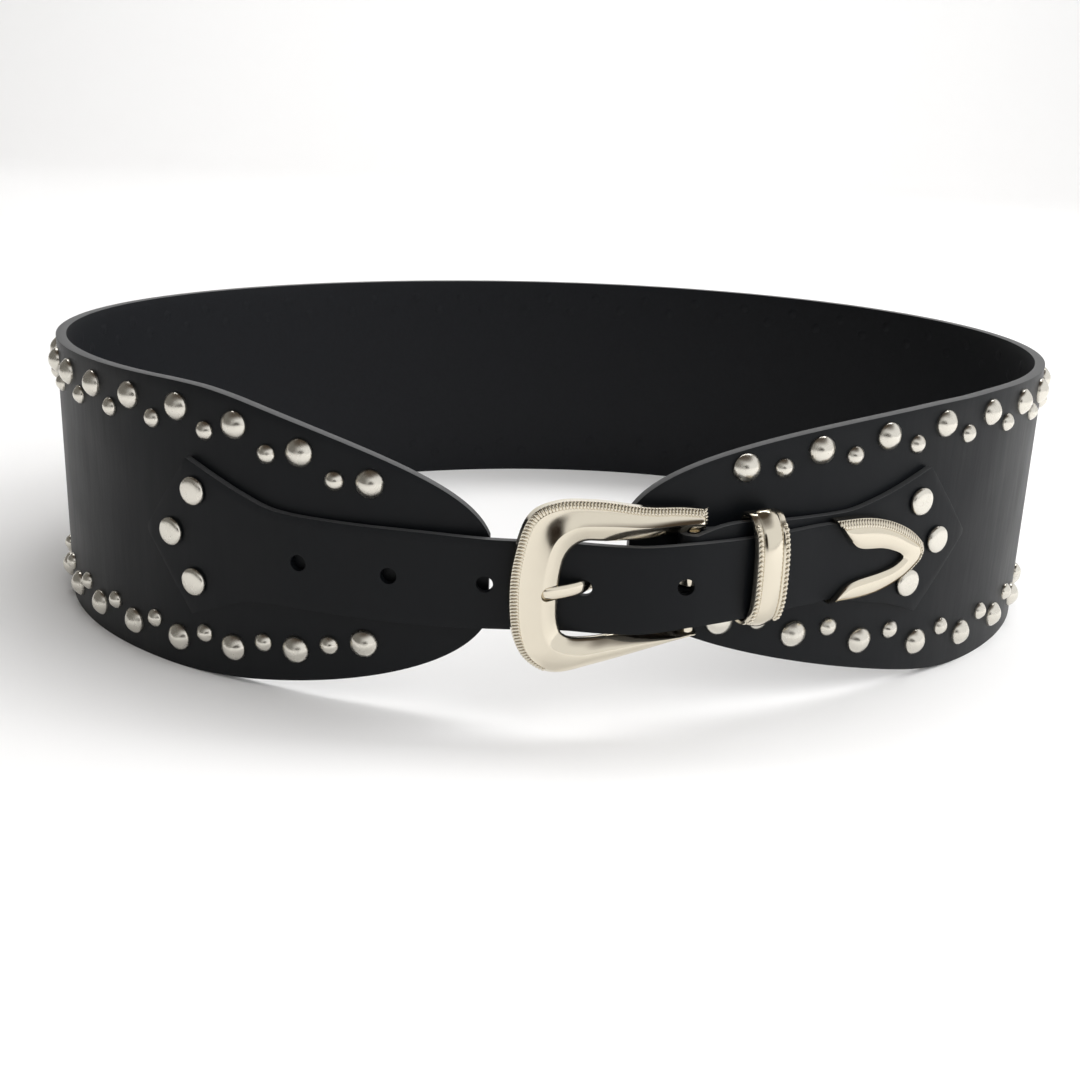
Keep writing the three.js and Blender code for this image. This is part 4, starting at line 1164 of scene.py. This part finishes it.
class BELT_OT_rivets(Maker, bpy.types.Operator):
    """Sets the strap rivets, each one turned piece with its head, shank and back"""

    bl_idname = "belt.rivets"
    bl_label = "Rivets"

    def make(self, sizes, colours):
        layers = Layers(sizes)
        head = layers.seat + layers.strap / 2 + FIT
        tail = -layers.band / 2 - 2 * FIT
        radius = sizes.rivet / MM / 2
        turns = np.linspace(0, 0.5 * np.pi, 8)
        arch = [(radius * math.cos(t) ** 0.5, head + 0.3 + 1.1 * math.sin(t)) for t in turns[:-1]]
        end = tail - RIVET_BACK_HEIGHT
        profile = [
            (0, end), (RIVET_BACK - 0.4, end), (RIVET_BACK, end + 0.3), (RIVET_BACK, tail),
            (RIVET_SHANK, tail), (RIVET_SHANK, head), (radius, head), *arch, (0, head + 1.45),
        ]
        for name, strap, back, up in RIVETS:
            place = TIP_ROOT + back if strap == "tip" else BUCKLE_ROOT - back
            level = float(strap_middle(np.array(place), strap)) + up
            rivet = turned(name + "_cap", profile, 32)
            rivet.data.transform(seat(place, 0.0, level))
            finish(rivet, (pressed_nickel_caps(colours),), (name,), angle=45)


def soft_box(name, place, size, power, shows):
    """A square softbox that faces the belt or, behind it, the paper's curve."""
    light = bpy.data.lights.new(name, "AREA")
    light.shape = "RECTANGLE"
    light.size, light.size_y = size
    light.energy = power
    lamp = bpy.data.objects.new(name, light)
    bpy.context.scene.collection.objects.link(lamp)
    lamp.location = place
    aim = SWEEP_AIM if name == "sweep_softbox" else BELT_AIM
    lamp.rotation_euler = (Vector(aim) - Vector(place)).to_track_quat("-Z", "Y").to_euler()
    lamp.visible_glossy = shows


def white_studio():
    """A pale room: white at the right, greyer at the left, dark overhead and in front."""
    world = bpy.data.worlds.new("white_studio")
    world.use_nodes = True
    tree = world.node_tree
    way = add(tree, "ShaderNodeTexCoord").outputs["Generated"]
    parts = add(tree, "ShaderNodeSeparateXYZ", {"Vector": way})
    facing = add(tree, "ShaderNodeVectorMath", {0: way}, operation="DOT_PRODUCT")
    facing.inputs[1].default_value = Vector(OPENING_WAY).normalized()
    shade = "#7C7A76"
    # The right side, then overhead and the opening in front
    for output, low, high, code in (
        (parts.outputs["X"], -0.75, 0.35, "#FFFFFF"),
        (parts.outputs["Z"], 0.55, 0.88, "#4E443A"),
        (facing.outputs["Value"], 0.925, 0.965, "#2C241D"),
    ):
        shade = mixed(tree, ranged(tree, output, low, high, step="SMOOTHSTEP"), shade, code)
    tree.links.new(shade, tree.nodes["Background"].inputs["Color"])
    return world


class BELT_OT_stage(Maker, bpy.types.Operator):
    """Sets up the paper sweep, the soft lights and the camera"""

    bl_idname = "belt.stage"
    bl_label = "Stage"

    def make(self, _, colours):
        turns = np.linspace(0, 0.5 * np.pi, 24)
        curve = [
            (SWEEP_START + SWEEP_RADIUS * math.sin(t), SWEEP_RADIUS * (1 - math.cos(t)))
            for t in turns
        ]
        line = [(-SWEEP_HALF, 0), *curve, (SWEEP_HALF, SWEEP_HALF)]
        floor = make_mesh("paper_sweep", [
            (x, y, z) for x in (-SWEEP_HALF, SWEEP_HALF) for y, z in line
        ], (), [
            (k, k + len(line), k + len(line) + 1, k + 1) for k in range(len(line) - 1)
        ])
        take(floor)
        bpy.ops.object.shade_smooth()
        floor.data.materials.append(matt_white_paper(colours))

        scene = bpy.context.scene
        scene.world = white_studio()
        scene.view_settings.view_transform = "Standard"

        for box in SOFT_BOXES:
            soft_box(*box)

        camera = bpy.data.objects.new("camera", bpy.data.cameras.new("camera"))
        scene.collection.objects.link(camera)
        side, down, over = (math.radians(angle) for angle in CAMERA_TURNS)
        camera.matrix_world = (
            Matrix.Translation(CAMERA_PLACE) @ Matrix.Rotation(-side, 4, "Z")
            @ Matrix.Rotation(math.pi / 2 - down, 4, "X") @ Matrix.Rotation(over, 4, "Z")
        )
        camera.data.sensor_width = SENSOR
        camera.data.lens = FOCAL_SHARE * SENSOR
        camera.data.clip_start, camera.data.clip_end = 0.01, 50
        scene.camera = camera


class BELT_PT_panel(bpy.types.Panel):
    """Lists the belt's pieces, sizes and colours"""

    bl_idname = "BELT_PT_panel"
    bl_label = "Studded belt"
    bl_space_type = "VIEW_3D"
    bl_region_type = "UI"
    bl_category = "Belt"

    def draw(self, context):
        for operator in OPERATORS:
            self.layout.operator(operator.bl_idname)
        for group in (context.scene.belt_sizes, context.scene.belt_colours):
            for key in group.__annotations__:
                self.layout.prop(group, key)


OPERATORS = (
    BELT_OT_band, BELT_OT_studs, BELT_OT_straps, BELT_OT_buckle, BELT_OT_keeper,
    BELT_OT_metal_tip, BELT_OT_rivets, BELT_OT_stage,
)
CLASSES = (BELT_PG_sizes, BELT_PG_colours, *OPERATORS, BELT_PT_panel)


def register():
    for cls in CLASSES:
        bpy.utils.register_class(cls)
    bpy.types.Scene.belt_sizes = bpy.props.PointerProperty(type=BELT_PG_sizes)
    bpy.types.Scene.belt_colours = bpy.props.PointerProperty(type=BELT_PG_colours)


def unregister():
    del bpy.types.Scene.belt_colours
    del bpy.types.Scene.belt_sizes
    for cls in reversed(CLASSES):
        bpy.utils.unregister_class(cls)


def main():
    register()
    for step in ("band", "studs", "straps", "buckle", "keeper", "metal_tip", "rivets", "stage"):
        getattr(bpy.ops.belt, step)()


if __name__ == "__main__":
    main()
